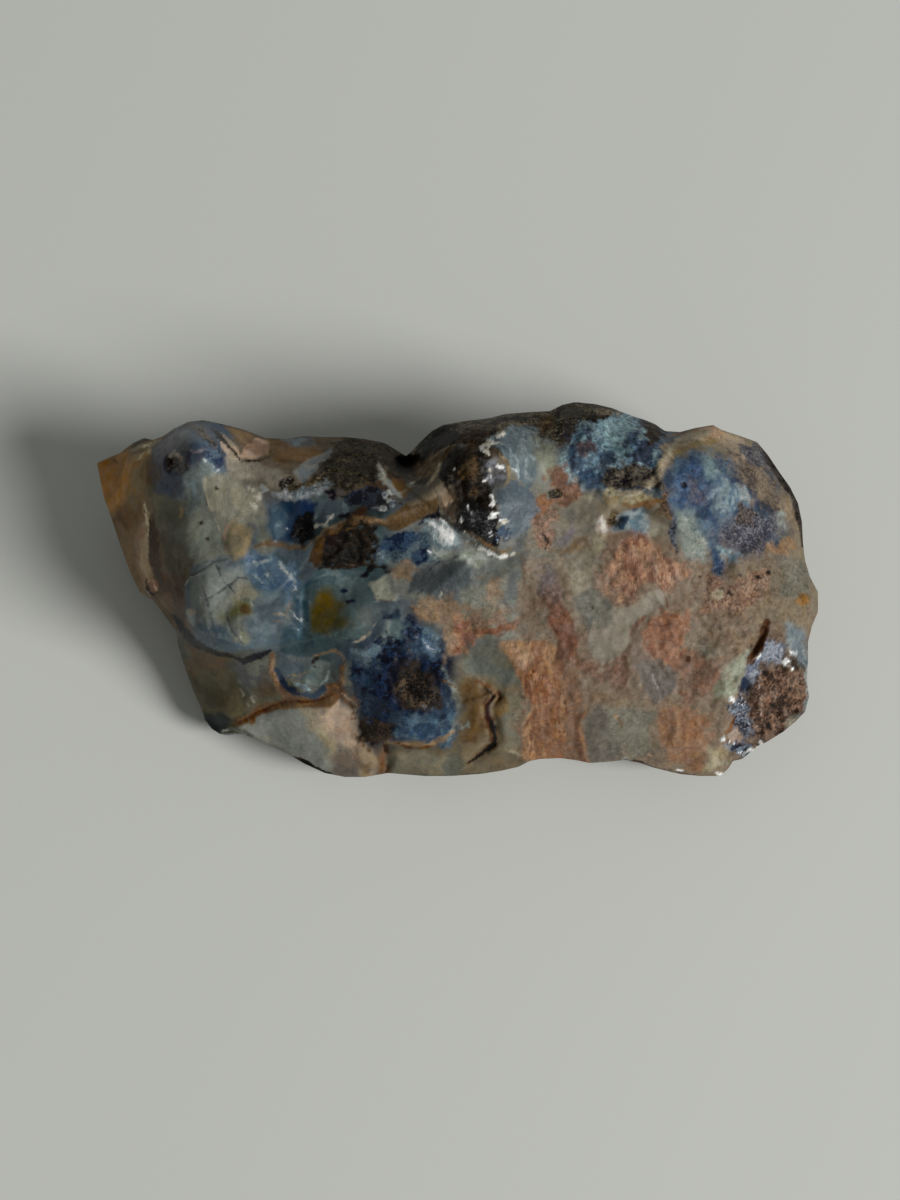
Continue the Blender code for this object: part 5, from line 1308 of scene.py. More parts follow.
# The low east end: clay, grey opal, and granular ironstone with glossy edges
EAST_LOW = [
    dotted((110, 97, 82), (94, 78, 64), [(700, 600), (724, 560), (760, 556), (820, 590), (812, 640),
           (770, 640), (740, 660), (716, 650)], size=1, soft=6, grain=0.5, gloss=0.4),
    dotted((106, 78, 64), (126, 102, 86), [(700, 566), (724, 584), (764, 566), (770, 600), (744, 616),
           (706, 610)], size=0.8, soft=6, grain=0.6),
    *[oval(BLACK, UMBER, (x, y), (2.2, 1.8), soft=1.2) for x, y in ((742, 576), (758, 578), (722, 590),
           (730, 594), (768, 572))],
    oval((150, 146, 124), CREAM, (719, 595), (7, 5), soft=3),
    area((90, 89, 79), (100, 97, 86), [(772, 560), (804, 556), (814, 590), (800, 606), (778, 590)],
         size=1.2, soft=5, gloss=0.5),
    dotted((116, 102, 84), (100, 88, 72), [(748, 606), (770, 600), (806, 606), (814, 622), (780, 626),
           (756, 622)], size=0.8, soft=4, grain=0.3),
    oval((120, 80, 36), HONEY, (803, 600), (6, 6), soft=4),
    area((112, 120, 122), STEEL, [(786, 626), (808, 622), (812, 648), (806, 666), (792, 650)], size=0.9,
         soft=4, gloss=0.75),
    dotted((122, 106, 88), (108, 88, 74), [(728, 616), (750, 622), (750, 650), (738, 660), (730, 640)],
           size=0.9, soft=5),
    area((130, 134, 118), (118, 116, 100), [(714, 680), (736, 660), (750, 656), (742, 682), (728, 706),
         (712, 704)], size=0.9, soft=4, gloss=0.7),
    mottled((92, 97, 116), (128, 132, 146), [(744, 670), (756, 652), (774, 642), (790, 646), (784, 660),
            (762, 664), (750, 684)], size=0.7, soft=3, gloss=0.7),
    grainy((122, 92, 76), (46, 34, 28), [(750, 688), (764, 668), (792, 664), (806, 680), (806, 712),
           (784, 732), (766, 742), (748, 736), (744, 712)], cover=0.5, soft=2.5, grain=1, gloss=0.35),
    *[oval(BLACK, RUST, (x, y), (4, 3), turn=turn, pattern="grain", cover=0.25, soft=2, raised=-0.25)
           for x, y, turn in ( (762, 688, 60), (774, 706, 20), (768, 726, 70), (790, 690, 40),
           (756, 706, 80), (782, 720, 10), (766, 672, 30), (796, 712, 60))],
    grainy((122, 100, 84), (76, 58, 48), [(778, 664), (800, 672), (802, 694), (790, 700), (782, 684)],
           size=0.6, soft=4, grain=0.8),
    *[streak((188, 176, 174), PINK_TAN, path, 2.4, soft=1.5, cast=0.85, gloss=0.8, raised=0.15)
             for path in ( [(760, 670), (761, 690)], [(762, 696), (760, 716)], [(772, 690), (776, 700)],
             [(782, 704), (786, 714)], [(776, 720), (780, 728)], [(752, 724), (762, 732)])],
    # Painted highlights: white glints of full gloss on the glossy edge, with a little raised relief
    *[streak(PAINTED_HIGHLIGHT_WHITE, ICE, path, 3, soft=1.5, gloss=1, raised=0.18) for path in ( [(784, 660), (794, 664)],
             [(786, 666), (796, 669)], [(728, 702), (736, 699)], [(732, 708), (742, 704)], [(734, 716),
             (740, 722)], [(738, 700), (746, 706)], [(744, 714), (748, 722)], [(746, 728), (752, 732)],
             [(790, 652), (796, 655)], [(730, 712), (738, 714)], [(752, 658), (758, 654)])],
    grainy((26, 28, 42), (110, 116, 134), [(734, 696), (742, 688), (750, 706), (754, 734), (744, 742),
           (734, 724), (730, 708)], cover=0.35, soft=2, gloss=1, grain=0.4, cast=0.85),
    oval((24, 22, 30), NAVY, (746, 684), (5, 6), soft=2.5, raised=-0.1),
    area((148, 130, 118), (126, 104, 90), [(726, 732), (738, 722), (746, 740), (736, 744)], size=0.6,
         soft=2.5, gloss=0.6),
    streak((84, 44, 24), FOX, [(723, 735), (730, 728), (735, 716)], 2.6, soft=1.5, raised=-0.08),
    grainy((110, 92, 80), (60, 44, 38), [(746, 738), (768, 736), (760, 746), (748, 748)], size=0.4,
           soft=2.5, grain=0.8),
    mottled((20, 24, 40), (104, 114, 134), [(722, 744), (736, 740), (756, 750), (750, 760), (728, 752)],
            size=0.8, soft=2, gloss=1, grain=0.2),
    # Painted highlights: white streaks on the glossy toe
    *[streak(PAINTED_HIGHLIGHT_WHITE, ICE, path, 3, soft=1.5, gloss=1, raised=0.15) for path in ([(722, 740), (732, 742),
             (740, 750)], [(744, 756), (754, 750), (760, 744)])],
    area((140, 130, 108), (126, 112, 90), [(706, 742), (724, 744), (734, 760), (720, 776), (700, 774),
         (708, 756)], size=1, soft=5, gloss=0.6),
    area((118, 112, 98), SAGE, [(780, 722), (800, 712), (804, 722), (782, 732)], size=0.8, soft=4),
    streak((120, 126, 124), STEEL, [(808, 650), (809, 680), (808, 700), (802, 718)], 6, pattern="mottle",
           soft=3, gloss=0.8),
    streak((44, 28, 18), RUST, [(767, 621), (762, 638), (758, 648), (750, 660)], 7.5, soft=1.5, raised=-0.1,
           blunt=True),
    # Along the south rim: dark lines, and short white painted highlights
    *[streak(colour, GREY, path, 2, soft=1, gloss=0.9) for colour, path in ( (UMBER, [(616, 761),
             (640, 762), (652, 768)]), (UMBER, [(664, 770), (684, 774), (704, 777)]), (UMBER, [(706, 777),
             (724, 778), (732, 768)]), (PAINTED_HIGHLIGHT_WHITE, [(622, 758), (632, 759)]), (PAINTED_HIGHLIGHT_WHITE, [(676, 770), (684, 772)]),
             (PAINTED_HIGHLIGHT_WHITE, [(714, 773), (722, 774)]), (PAINTED_HIGHLIGHT_WHITE, [(528, 764), (548, 762), (570, 761)]))],
]

# The dome: glossy blue opal around a face of granular ironstone
DOME = [
    grainy((40, 33, 26), BLACK, [(440, 470), (454, 454), (474, 446), (494, 454), (492, 480), (498, 500),
           (504, 530), (496, 548), (478, 536), (458, 524), (454, 500)], cover=0.45, soft=2, grain=0.9,
           gloss=0.6),
    grainy((88, 68, 46), (26, 21, 17), [(460, 462), (478, 452), (484, 470), (478, 496), (466, 490)],
           cover=0.45, soft=3, grain=1, gloss=0.35),
    grainy(BLACK, (60, 54, 50), [(446, 470), (456, 458), (460, 480), (454, 494)], cover=0.3, soft=3,
           grain=0.8, gloss=0.5),
    grainy((16, 15, 16), (70, 70, 74), [(456, 508), (478, 500), (494, 514), (504, 540), (496, 550),
           (474, 532), (458, 524)], cover=0.3, soft=2.5, grain=0.7, gloss=0.95),
    mottled((94, 102, 112), (80, 88, 98), [(498, 496), (510, 484), (530, 484), (540, 504), (534, 528),
            (514, 542), (502, 526)], size=0.9, soft=3, gloss=0.8),
    mottled((24, 32, 58), (64, 76, 104), [(500, 532), (514, 530), (514, 544), (502, 550)], size=0.8, soft=3,
            gloss=0.85),
    mottled((104, 106, 114), (66, 64, 66), [(484, 458), (500, 452), (508, 468), (506, 484), (494, 490),
            (486, 476)], size=0.8, soft=3, gloss=1),
    streak((132, 112, 84), SEPIA, [(500, 452), (508, 464), (510, 478), (504, 490)], 3.4, soft=1.5,
           raised=0.15),
    *[streak((134, 144, 150), SLATE, path, 1.8, soft=1.5, gloss=0.95, raised=0.04)
             for path in ( [(508, 446), (518, 460), (520, 480)], [(514, 440), (527, 458), (527, 478)],
             [(504, 438), (522, 446), (536, 462)], [(512, 432), (530, 440), (540, 450)], [(502, 444),
             (512, 454), (514, 474)])],
    # Painted highlights: white glints of full gloss over the dome, with a little raised relief
    *[streak(PAINTED_HIGHLIGHT_WHITE, PEARL, path, width, soft=1.2, gloss=1, raised=0.2) for path, width in ( ([(498, 434),
             (506, 432)], 3.4), ([(484, 446), (492, 441), (502, 442)], 3), ([(482, 449), (490, 454)], 2.6),
             ([(496, 462), (504, 470)], 3.4), ([(490, 468), (492, 480)], 4), ([(478, 484), (488, 480)],
             3.6), ([(493, 497), (494, 505)], 5), ([(488, 518), (500, 512)], 5), ([(498, 524), (506, 522)],
             3), ([(462, 518), (465, 521)], 3.6), ([(444, 504), (445, 511)], 4), ([(470, 508), (474, 512)],
             2.4), ([(452, 470), (455, 466)], 2.2))],
    mottled((96, 84, 70), (66, 56, 46), [(440, 486), (456, 490), (460, 518), (450, 526), (440, 514)],
            size=0.8, soft=3, gloss=0.7),
    area((140, 118, 100), (112, 94, 78), [(438, 490), (446, 486), (452, 500), (444, 504)], size=0.7,
         soft=2.5),
    mottled((18, 18, 24), NAVY, [(420, 512), (436, 506), (444, 514), (432, 522), (418, 522)], size=0.8,
            soft=2, gloss=0.8),
    area((104, 118, 132), (136, 146, 152), [(422, 528), (440, 516), (462, 530), (458, 548), (436, 548)],
         size=0.7, soft=4, gloss=0.95),
    # Painted highlight: a white glare of streaks on the pale blue patch below the lip
    *[streak(PAINTED_HIGHLIGHT_WHITE, ICE, path, width, soft=2, gloss=1, raised=0.1) for path, width in ( ([(430, 524),
             (440, 530), (456, 541)], 15), ([(432, 530), (442, 540), (454, 545)], 10), ([(440, 520),
             (452, 530), (458, 538)], 4), ([(434, 540), (428, 552)], 2.6), ([(462, 536), (474, 542),
             (484, 546)], 3), ([(446, 514), (452, 522)], 3))],
    streak((116, 84, 56), TAN, [(466, 532), (480, 540), (492, 550), (506, 552), (516, 546)], 4, soft=2,
           raised=0.08),
    # Painted highlight: a white line along the dome's foot, on a raised ridge
    streak(PAINTED_HIGHLIGHT_WHITE, PEARL, [(464, 534), (474, 541), (484, 549), (492, 556), (502, 558), (512, 554)], 3.4,
           soft=1.2, gloss=1, raised=0.2),
    fibrous((66, 50, 32), (80, 61, 40), [(386, 518), (404, 502), (438, 494), (436, 508), (404, 524),
            (386, 528)], lie=155, size=0.8, soft=2.5, gloss=0.5),
    fibrous((124, 110, 92), (98, 86, 70), [(402, 502), (424, 490), (444, 482), (448, 488), (430, 498),
            (406, 508)], lie=155, size=0.7, soft=2, raised=0.12, gloss=0.6),
    streak((40, 30, 20), UMBER, [(416, 486), (430, 478), (440, 470)], 4, soft=2, raised=-0.1),
    streak((170, 152, 128), CREAM, [(428, 484), (436, 474), (442, 460)], 4, soft=2, raised=0.12),
]

# Last touches: the cream arch over the knob, and where the stone is broken into fine specks
TOUCHES = [
    streak((150, 138, 118), (126, 112, 94), [(650, 486), (658, 476), (663, 462), (671, 449), (684, 440),
           (706, 434)], 9, soft=3, raised=0.1, blunt=True),
    streak((194, 184, 166), CREAM, [(656, 478), (662, 462), (668, 452), (676, 444)], 4, soft=2,
           raised=0.08),
    zone([(556, 400), (640, 405), (668, 430), (664, 490), (600, 498), (572, 480), (556, 440)], 10,
         speck=1.3, grain=0.75),
    zone([(668, 440), (720, 430), (760, 450), (800, 500), (800, 556), (740, 590), (706, 590), (700, 520),
         (672, 500)], 10, speck=1.15, grain=0.4),
    zone([(690, 560), (812, 556), (818, 620), (780, 640), (690, 610)], 10, speck=1.1, grain=0.5),
    zone([(346, 640), (440, 630), (458, 700), (440, 742), (376, 740), (350, 690)], 8, speck=1.0,
         grain=0.35),
    zone([(404, 458), (440, 420), (500, 406), (556, 402), (552, 426), (500, 436), (450, 462), (420, 476)],
         6, speck=1.4, grain=0.8),
    area((140, 132, 120), (129, 121, 109), [(592, 640), (604, 622), (620, 610), (640, 605), (660, 593),
         (666, 601), (646, 613), (632, 622), (626, 642), (616, 658), (602, 666), (592, 655)], size=1.6,
         soft=4, gloss=0.6, grain=0.05, speck=0.15, cast=0.8),
    area((92, 86, 78), (84, 79, 73), [(588, 700), (602, 702), (614, 728), (616, 748), (598, 756),
         (588, 740)], size=1.6, soft=6, speck=0.4, cast=0.6),
    *[streak((98, 64, 46), BRICK, path, 1.8, soft=2, cast=0.55) for path in ( [(532, 648), (527, 676),
             (534, 706), (530, 752)], [(539, 646), (536, 690), (541, 752)], [(547, 650), (546, 700),
             (548, 756)], [(554, 660), (551, 712), (554, 756)], [(525, 700), (520, 730), (524, 752)],
             [(634, 550), (640, 570), (638, 592)], [(645, 545), (652, 568), (650, 590)], [(658, 548),
             (665, 572)], [(627, 558), (630, 586)], [(646, 632), (652, 656), (666, 670)], [(656, 628),
             (662, 650), (674, 664)], [(668, 626), (674, 646), (682, 658)], [(650, 622), (668, 616),
             (684, 620)], [(674, 708), (671, 734), (676, 762)], [(685, 706), (683, 738), (687, 764)],
             [(696, 714), (694, 744)])],
    *[streak((164, 130, 102), APRICOT, path, 1.6, soft=2, cast=0.45) for path in ( [(535, 650), (531, 680),
             (537, 712), (535, 750)], [(543, 648), (541, 700), (545, 754)], [(551, 654), (549, 706),
             (551, 756)], [(640, 546), (646, 570), (644, 590)], [(652, 630), (657, 652), (670, 668)],
             [(679, 706), (677, 736), (682, 764)])],
    streak((8, 9, 13), INK, [(175, 616), (184, 630), (193, 642), (206, 650), (217, 653)], 7, soft=1.2,
           cast=1),
    streak((8, 9, 13), INK, [(231, 657), (244, 661), (257, 656), (270, 650)], 7, soft=1.2, cast=1),
    streak((14, 13, 14), UMBER, [(206, 651), (218, 655), (236, 658)], 2.6, soft=1.2, cast=1, blunt=True),
    # Painted highlight: a white glare oval below the lip
    oval((226, 230, 228), (150, 160, 166), (443, 534), (15, 7), turn=38, pattern="mottle", cover=0.3,
         size=0.6, soft=4, gloss=0.95, cast=0.85),
]

FACE_MARKS = [*WASHES, *WEST_END, *NOSE, *SADDLE, *PLATES, *BLUES, *LOW_WEST, *NAVY_CORE, *MIDDLE_TOP,
              *LOW_MIDDLE, *CLAY, *CREST, *EAST_MIDDLE, *EAST_TOP, *EAST_LOW, *DOME, *TOUCHES]


# The fine stone

def rim_loop():
    """The face grid's rim as vertex numbers, anticlockwise from the south-west corner."""
    across, up = FACE_COLUMNS + 1, FACE_ROWS + 1
    south = list(range(across))
    east = [j * across + FACE_COLUMNS for j in range(1, up)]
    north = [FACE_ROWS * across + i for i in range(FACE_COLUMNS - 1, -1, -1)]
    west = [j * across for j in range(FACE_ROWS - 1, 0, -1)]
    return np.array(south + east + north + west)


def face_relief(points, places, skin):
    """The small relief of the face in millimetres, from its gloss, its grain and what the marks raise."""
    gloss, grain = skin.values["gloss"], skin.values["grain"]
    near, second = cells(places / FLAKES[0], 29)[:2]
    flakes = FLAKES[1] * (second - near) * gloss * (1 - grain)
    near, second = cells(places / CHIPS[0], 31)[:2]
    chips = CHIPS[1] * (second - near) * (0.15 + grain)
    grit = GRIT[1] * grain * layered(places / GRIT[0], 3, 33)
    ripple = RIPPLE[1] * gloss * (1 - grain) * layered(places / RIPPLE[0], 3, 35)
    return flakes + chips + grit + ripple + RAISED_SHARE * skin.raised


def wall_rings(rim, rim_heights):
    """The wall's rings under the rim, the last one on the resting plane."""
    count = len(rim)
    runs = np.linalg.norm(np.roll(rim, -1, axis=0) - rim, axis=1)
    reach = int(round(WALL_EASING_RUN / runs.mean()))
    window = np.arange(-reach, reach + 1)
    eased = rim[(np.arange(count)[:, None] + window) % count].mean(1)
    spine = np.clip(rim[:, 0], -SPINE_HALF_LENGTH, SPINE_HALF_LENGTH)
    inward = np.stack([spine - rim[:, 0], -rim[:, 1], np.zeros(count)], axis=1)
    inward /= np.linalg.norm(inward, axis=1)[:, None]
    lean = np.maximum(rim_heights * math.tan(WALL_LEAN), BASE_INSET)
    level_ground = np.array([1, 1, 0])
    base = (eased + inward * lean[:, None]) * level_ground
    rings = []
    for ring in range(1, WALL_RINGS + 1):
        share = (ring / WALL_RINGS) ** WALL_RING_CROWDING
        drawn_in = share**WALL_TURN
        level = rim * level_ground * (1 - drawn_in) + base * drawn_in
        level[:, 2] = rim[:, 2] * (1 - share)
        swell_here = math.sin(math.pi * share) ** 0.5 if share < 1 else 0
        rough = np.array([wall_relief(Vector(place)) for place in level])
        rough += WALL_GRIT_DEPTH * layered(level / WALL_GRIT_SIZE, 3, 45)
        level += inward * (swell_here * rough)[:, None]
        drawn = ((level - rim) * inward).sum(1)
        least = (rim[:, 2] - level[:, 2]) * math.tan(LEAST_LEAN)
        level += inward * np.maximum(least - drawn, 0)[:, None]
        rings.append(level)
    return rings


def base_rings(edge):
    """Rings on the resting plane, from its edge to the middle, a little hollow between the high spots."""
    rings = []
    for ring in range(1, BASE_RINGS + 1):
        share = 1 - ring / (BASE_RINGS + BASE_PATCH)
        level = edge * share
        hollow = np.maximum(0, layered(level / BASE_HOLLOW_SIZE, 3, 51) * BASE_HOLLOW_DEPTH)
        level[:, 2] = hollow * smooth(ring / 2)
        rings.append(level)
    return rings


def stone_parts():
    """All the stone's points, its faces, and its skin."""
    points = picture_points()
    middle = middle_of_outline()
    broad = spline_heights(points)
    sides = (NORTH, EAST, SOUTH, WEST)
    edge = np.min([np.abs(distance_to(side, points)[0]) for side in sides], axis=0)
    rim_share = np.clip(edge * PIXEL / RIM_FADE, 0, 1)
    shaped = broad + rim_share * (relief(points) + unevenness(points))
    places = (place_in_stone(points, shaped) - middle) / MM

    face = Skin(len(points), GROUND_COLOUR)
    paint(face, FACE_MARKS, points, places)
    small = face_relief(points, places, face) * MM
    heights = shaped + small * (RIM_RELIEF + (1 - RIM_RELIEF) * rim_share) * np.where(edge > 0.5, 1, 0)
    face_places = place_in_stone(points, heights) - middle

    loop = rim_loop()
    rim = face_places[loop]
    walls = wall_rings(rim, rim[:, 2])
    base = base_rings(walls[-1])
    rings = [*walls, *base]
    places = np.concatenate([face_places, *rings])
    places = np.clip(places, np.array(CAD_BOX[0]), np.array(CAD_BOX[1]))

    across = FACE_COLUMNS + 1
    i, j = np.meshgrid(np.arange(FACE_COLUMNS), np.arange(FACE_ROWS))
    corner = (j * across + i).ravel()
    faces = [np.stack([corner, corner + 1, corner + across + 1, corner + across], axis=1)]
    upper = loop
    for ring in range(len(rings)):
        lower = len(points) + ring * len(loop) + np.arange(len(loop))
        faces.append(np.stack([upper, lower, np.roll(lower, -1), np.roll(upper, -1)], axis=1))
        upper = lower
    faces = [tuple(quad) for quad in np.concatenate(faces).tolist()] + [tuple(upper[::-1].tolist())]

    below = rim[None, :, 2] - np.array([ring[:, 2] for ring in walls])
    inward = MIRROR_MIDDLE - points[loop]
    inward /= np.linalg.norm(inward, axis=1)[:, None]
    beside = points[loop][None] + inward[None] * (below[:, :, None] / PIXEL * MIRROR_STRETCH)
    skin = whole_skin(face, beside.reshape(-1, 2), places[len(points):])
    return places, faces, skin


def whole_skin(face, beside, places):
    """The face's skin and the rest's: the marks run on over the rim, as if folded there at the picture
    points beside it, and end in the ironstone of the walls and the underside."""
    spots = places / MM
    skin = Skin(len(places), IRONSTONE)
    lump = layered(spots / 3.2, 4, 61)
    climb = spots[:, 2] / 1.6 + SEAM_TILT * spots[:, 0]
    layer = layered(np.column_stack([spots[:, 0] / 9, spots[:, 1] / 9, climb]), 4, 63) - SEAM_LEVEL
    everything = np.arange(len(places))
    skin.lay(everything, np.ones(len(places)), IRONSTONE, IRONSTONE_DARK, gloss=0.2, grain=0.9, speck=1.2,
             mix=smooth(0.5 + 1.6 * lump))
    tan = smooth(3 * layered(spots / 2.0, 4, 65) - 0.6)
    skin.lay(everything, tan, IRONSTONE_TAN, IRONSTONE, gloss=0.25, grain=0.7)
    skin.lay(everything, smooth(layer * 5), POTCH, POTCH_BLUE, gloss=0.8, grain=0.1,
             mix=smooth(0.5 + layered(spots / 1.2, 3, 67)))
    skin.lay(everything, smooth(1 - np.abs(layer) * 14) * 0.7, RUST, gloss=0.3, grain=0.5)

    wall = Skin(len(beside), GROUND_COLOUR)
    here = slice(0, len(beside))
    # Streaks, the painted glints among them, are kept off the walls
    paint(wall, [mark for mark in FACE_MARKS if mark["form"] != "streak"], beside, spots[here])
    ring = np.repeat(np.arange(1, WALL_RINGS + 1), len(beside) // WALL_RINGS) / WALL_RINGS
    wander = WALL_MARKS_WANDER * layered(spots[here] / 5.0, 4, 69)
    kept = smooth((WALL_MARKS_REACH - ring + wander) / WALL_MARKS_FADE)
    skin.lay(here, kept, wall.colour, wall.second, **wall.values)
    return face.join(skin)


def toned(colour):
    """Colours as painted, with the blues deepened a little towards teal and the oranges towards brown."""
    red, green, blue = np.asarray(colour, float).T
    cool = smooth((blue - red) / 40)
    warm = smooth((red - blue) / 70)
    kept = [1 - 0.14 * cool - 0.04 * warm, 1 - 0.08 * cool, 1 - 0.14 * cool]
    return np.stack([red * kept[0], green * kept[1], blue * kept[2]], axis=1)


def linear(colour):
    """Colours from 0 to 255 as seen on a screen, as linear light."""
    share = np.clip(np.asarray(colour, float) / 255, 0, 1)
    return np.where(share <= 0.04045, share / 12.92, ((share + 0.055) / 1.055) ** 2.4)


def opal_material():
    """Opal and ironstone: two painted colours broken up by fine specks or fibres, with gloss and grain."""
    material = bpy.data.materials.new("opal_and_ironstone")
    material.use_nodes = True
    nodes, links = material.node_tree.nodes, material.node_tree.links
    shader = nodes["Principled BSDF"]
    place = nodes.new("ShaderNodeTexCoord").outputs["Object"]

    def put(value, socket):
        if isinstance(value, (int, float, tuple)):
            socket.default_value = value
        else:
            links.new(value, socket)

    def maths(operation, *values):
        node = nodes.new("ShaderNodeMath")
        node.operation = operation
        for socket, value in zip(node.inputs, values):
            put(value, socket)
        return node.outputs["Value"]

    def spread(value, low, high, new_low, new_high, kind="LINEAR"):
        node = nodes.new("ShaderNodeMapRange")
        node.interpolation_type = kind
        for name, number in (("Value", value), ("From Min", low), ("From Max", high), ("To Min", new_low),
                             ("To Max", new_high)):
            put(number, node.inputs[name])
        return node.outputs["Result"]

    def clouds(size, detail=3.0, rough=0.6, where=place, turn=0.0):
        node = nodes.new("ShaderNodeTexNoise")
        for name, number in (("Scale", 1 / (size * MM)), ("Detail", detail), ("Roughness", rough),
                             ("Distortion", turn), ("Vector", where)):
            put(number, node.inputs[name])
        return node.outputs["Fac"]

    def grains(size, feature="F1"):
        node = nodes.new("ShaderNodeTexVoronoi")
        node.feature = feature
        put(1 / (size * MM), node.inputs["Scale"])
        put(place, node.inputs["Vector"])
        return node

    def blend(share, first, second, kind="MIX"):
        node = nodes.new("ShaderNodeMix")
        node.data_type, node.blend_type = "RGBA", kind
        for name, value in (("Factor_Float", share), ("A_Color", first), ("B_Color", second)):
            put(value, next(socket for socket in node.inputs if socket.identifier == name))
        return next(socket for socket in node.outputs if socket.identifier == "Result_Color")

    def layer(name):
        node = nodes.new("ShaderNodeAttribute")
        node.attribute_name = name
        return node

    def channels(colour):
        node = nodes.new("ShaderNodeSeparateColor")
        put(colour, node.inputs["Color"])
        return node.outputs["Red"], node.outputs["Green"], node.outputs["Blue"]

    gloss, grain, share = channels(layer("finish").outputs["Color"])
    fibre, speck = channels(layer("texture").outputs["Color"])[:2]

    # Fine specks, or threads along +Y that wander, mix the two painted colours
    bend = nodes.new("ShaderNodeVectorMath")
    bend.operation = "MULTIPLY_ADD"
    wander = nodes.new("ShaderNodeTexNoise")
    put(1 / (4 * MM), wander.inputs["Scale"])
    put(place, wander.inputs["Vector"])
    put(wander.outputs["Color"], bend.inputs[0])
    put((3.0 * MM, 3.0 * MM, 0.0), bend.inputs[1])
    put(place, bend.inputs[2])
    stretch = nodes.new("ShaderNodeMapping")
    put((1.0, 0.16, 0.5), stretch.inputs["Scale"])
    put(bend.outputs["Vector"], stretch.inputs["Vector"])
    specks = spread(clouds(0.24, 4.0, 0.66), 0.34, 0.66, -0.5, 0.5)
    threads = spread(clouds(0.2, 3.0, 0.6, stretch.outputs["Vector"], 1.2), 0.34, 0.66, -0.5, 0.5)
    broken = maths("MULTIPLY_ADD", maths("SUBTRACT", threads, specks), fibre, specks)
    mixed = spread(maths("MULTIPLY_ADD", broken, speck, share), 0.2, 0.8, 0.0, 1.0, "SMOOTHSTEP")
    colour = blend(mixed, layer("painted").outputs["Color"], layer("second").outputs["Color"])

    # Grains, specks, soft clouds and crazing lighten and darken them
    seeds = grains(0.27)
    cell = channels(seeds.outputs["Color"])[0]
    tone = maths("MULTIPLY", maths("SUBTRACT", cell, 0.5), maths("MULTIPLY", grain, 0.95))
    tone = maths("ADD", tone, maths("MULTIPLY", broken, maths("MULTIPLY_ADD", speck, 0.58, 0.05)))
    tone = maths("ADD", tone, spread(clouds(1.5, 4.0), 0.3, 0.7, -0.12, 0.12))
    cracks = grains(2.1, "DISTANCE_TO_EDGE").outputs["Distance"]
    crazed = spread(cracks, 0.008, 0.03, 1.0, 0.0)
    crazed = maths("MULTIPLY", crazed, spread(clouds(2.8), 0.52, 0.6, 0.0, 0.5))
    tone = maths("SUBTRACT", tone, maths("MULTIPLY", crazed, maths("MULTIPLY", gloss, 0.5)))
    toned = nodes.new("ShaderNodeHueSaturation")
    put(colour, toned.inputs["Color"])
    put(maths("MAXIMUM", maths("ADD", 1.0, tone), 0.12), toned.inputs["Value"])
    put(spread(clouds(0.9), 0.3, 0.7, 0.85, 1.15), toned.inputs["Saturation"])
    links.new(toned.outputs["Color"], shader.inputs["Base Color"])

    # A glossier place is smoother, and the glossiest ones have a clear coat
    dull = maths("MULTIPLY_ADD", gloss, -0.45, 0.74)
    dull = maths("ADD", dull, spread(clouds(0.5), 0.3, 0.7, -0.07, 0.09))
    put(maths("MAXIMUM", dull, 0.08), shader.inputs["Roughness"])
    put(spread(gloss, 0.8, 1.0, 0.0, 0.8), shader.inputs["Coat Weight"])
    shader.inputs["Coat Roughness"].default_value = 0.09
    shader.inputs["Coat IOR"].default_value = 1.5
    shader.inputs["IOR"].default_value = 1.25
    shader.inputs["Subsurface Weight"].default_value = 0.06
    shader.inputs["Subsurface Radius"].default_value = (1.0, 0.75, 0.55)
    shader.inputs["Subsurface Scale"].default_value = 0.4 * MM

    # Bumps follow the specks and the grains
    height = maths("MULTIPLY_ADD", broken, 0.5, maths("MULTIPLY", cell, grain))
    bump = nodes.new("ShaderNodeBump")
    put(0.07 * MM, bump.inputs["Distance"])
    put(maths("MULTIPLY_ADD", grain, 0.85, 0.08), bump.inputs["Strength"])
    put(height, bump.inputs["Height"])
    links.new(bump.outputs["Normal"], shader.inputs["Normal"])
    return material


def make_stone():
    places, faces, skin = stone_parts()
    mesh = bpy.data.meshes.new("opal_stone")
    mesh.from_pydata(places.tolist(), [], faces)
    mesh.update()
    mesh.shade_smooth()
    values = skin.values
    for name, layer in (
        ("painted", linear(toned(skin.colour)) * PAINT_GAIN - PAINT_HAZE),
        ("second", linear(toned(skin.second)) * PAINT_GAIN - PAINT_HAZE),
        ("finish", np.column_stack([values["gloss"], values["grain"], values["mix"]])),
        ("texture", np.column_stack([values["fibre"], values["speck"], 0 * values["speck"]])),
    ):
        layer = np.column_stack([np.clip(layer, *PAINT_RANGE), np.ones(len(places))])
        attribute = mesh.color_attributes.new(name, "FLOAT_COLOR", "POINT")
        attribute.data.foreach_set("color", layer.astype(np.float32).ravel())
    mesh.materials.append(opal_material())
    stone = bpy.data.objects.new("opal_stone", mesh)
    bpy.context.scene.collection.objects.link(stone)
    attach(stone, "root")
    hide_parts("boulder_opal")
    return stone


# Floor, light and camera

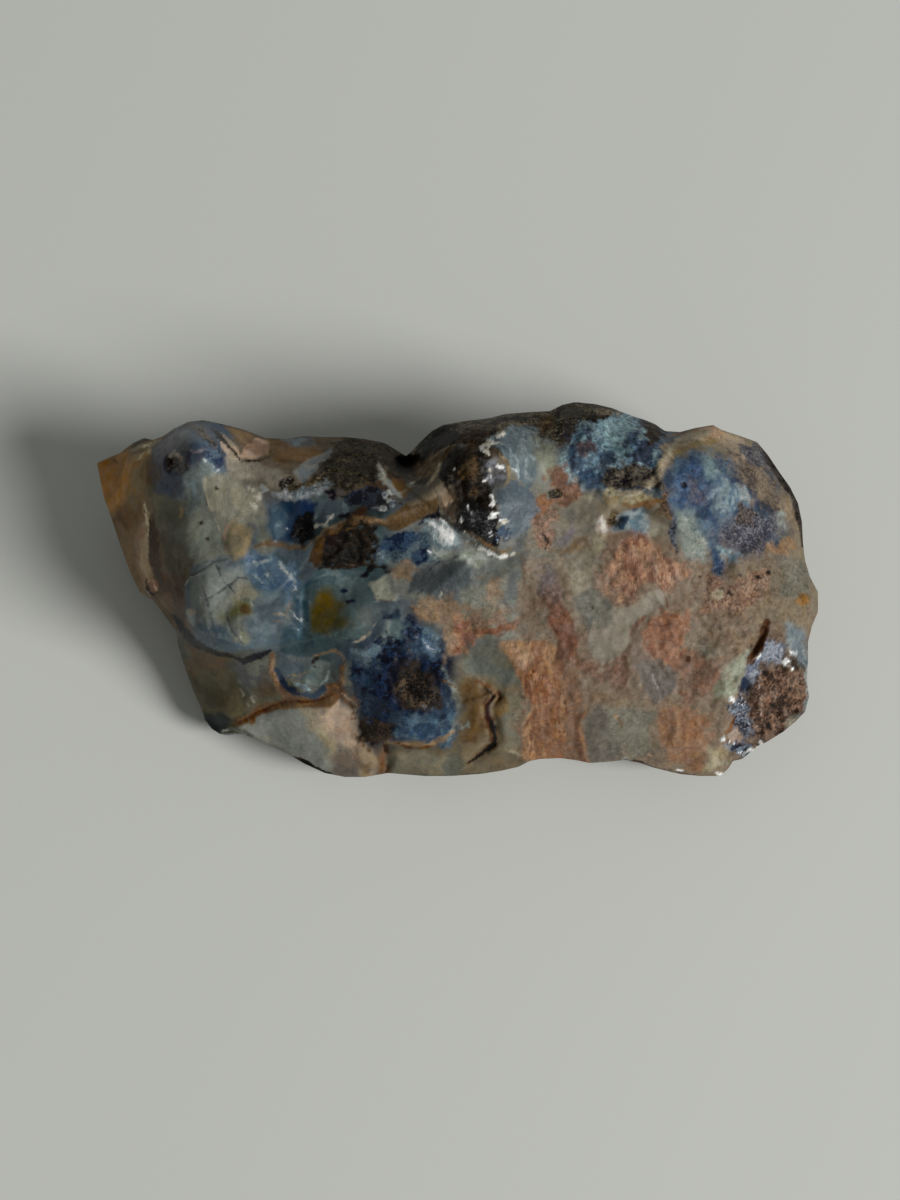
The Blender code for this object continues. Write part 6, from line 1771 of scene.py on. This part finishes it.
def make_floor():
    bpy.ops.mesh.primitive_plane_add(size=FLOOR_SIZE)
    floor = bpy.context.object
    floor.name = "floor"
    material = bpy.data.materials.new("pale_floor")
    material.use_nodes = True
    shader = material.node_tree.nodes["Principled BSDF"]
    shader.inputs["Base Color"].default_value = (*FLOOR_COLOUR, 1.0)
    shader.inputs["Roughness"].default_value = FLOOR_ROUGHNESS
    floor.data.materials.append(material)


def aim(thing, place, target):
    thing.location = place
    thing.rotation_mode = "QUATERNION"
    thing.rotation_quaternion = (Vector(target) - Vector(place)).to_track_quat("-Z", "Y")


def make_light(name, power, size, azimuth, elevation, distance, colour=(1, 1, 1)):
    """An area light aimed at the stone. Azimuth is from +X towards +Y, in degrees."""
    data = bpy.data.lights.new(name, "AREA")
    data.energy, data.color = power, colour
    data.shape, data.size = "DISK", size
    light = bpy.data.objects.new(name, data)
    bpy.context.scene.collection.objects.link(light)
    turn, rise = math.radians(azimuth), math.radians(elevation)
    way = Vector((math.cos(turn) * math.cos(rise), math.sin(turn) * math.cos(rise), math.sin(rise)))
    aim(light, way * distance, (0, 0, AIM_HEIGHT))


def make_camera():
    data = bpy.data.cameras.new("camera")
    data.sensor_width = SENSOR_WIDTH
    data.lens = data.sensor_width * VIEW_DISTANCE / (PICTURE_ROWS * PIXEL)
    data.clip_start = 0.01
    camera = bpy.data.objects.new("camera", data)
    bpy.context.scene.collection.objects.link(camera)
    middle = Vector(middle_of_outline())
    target = Vector((0, 0, AIM_HEIGHT)) - middle
    back = Vector((0, -math.sin(VIEW_TILT), math.cos(VIEW_TILT)))
    aim(camera, target + back * VIEW_DISTANCE, target)
    bpy.context.scene.camera = camera


def make_world():
    world = bpy.data.worlds.new("world")
    world.use_nodes = True
    background = world.node_tree.nodes["Background"]
    background.inputs["Color"].default_value = (*WORLD_COLOUR, 1.0)
    background.inputs["Strength"].default_value = WORLD_STRENGTH
    bpy.context.scene.world = world


make_floor()
make_stone()
make_light("key", KEY_POWER, KEY_SIZE, KEY_AZIMUTH, KEY_ELEVATION, KEY_DISTANCE, KEY_COLOUR)
make_camera()
make_world()
bpy.context.scene.view_settings.view_transform = "Standard"
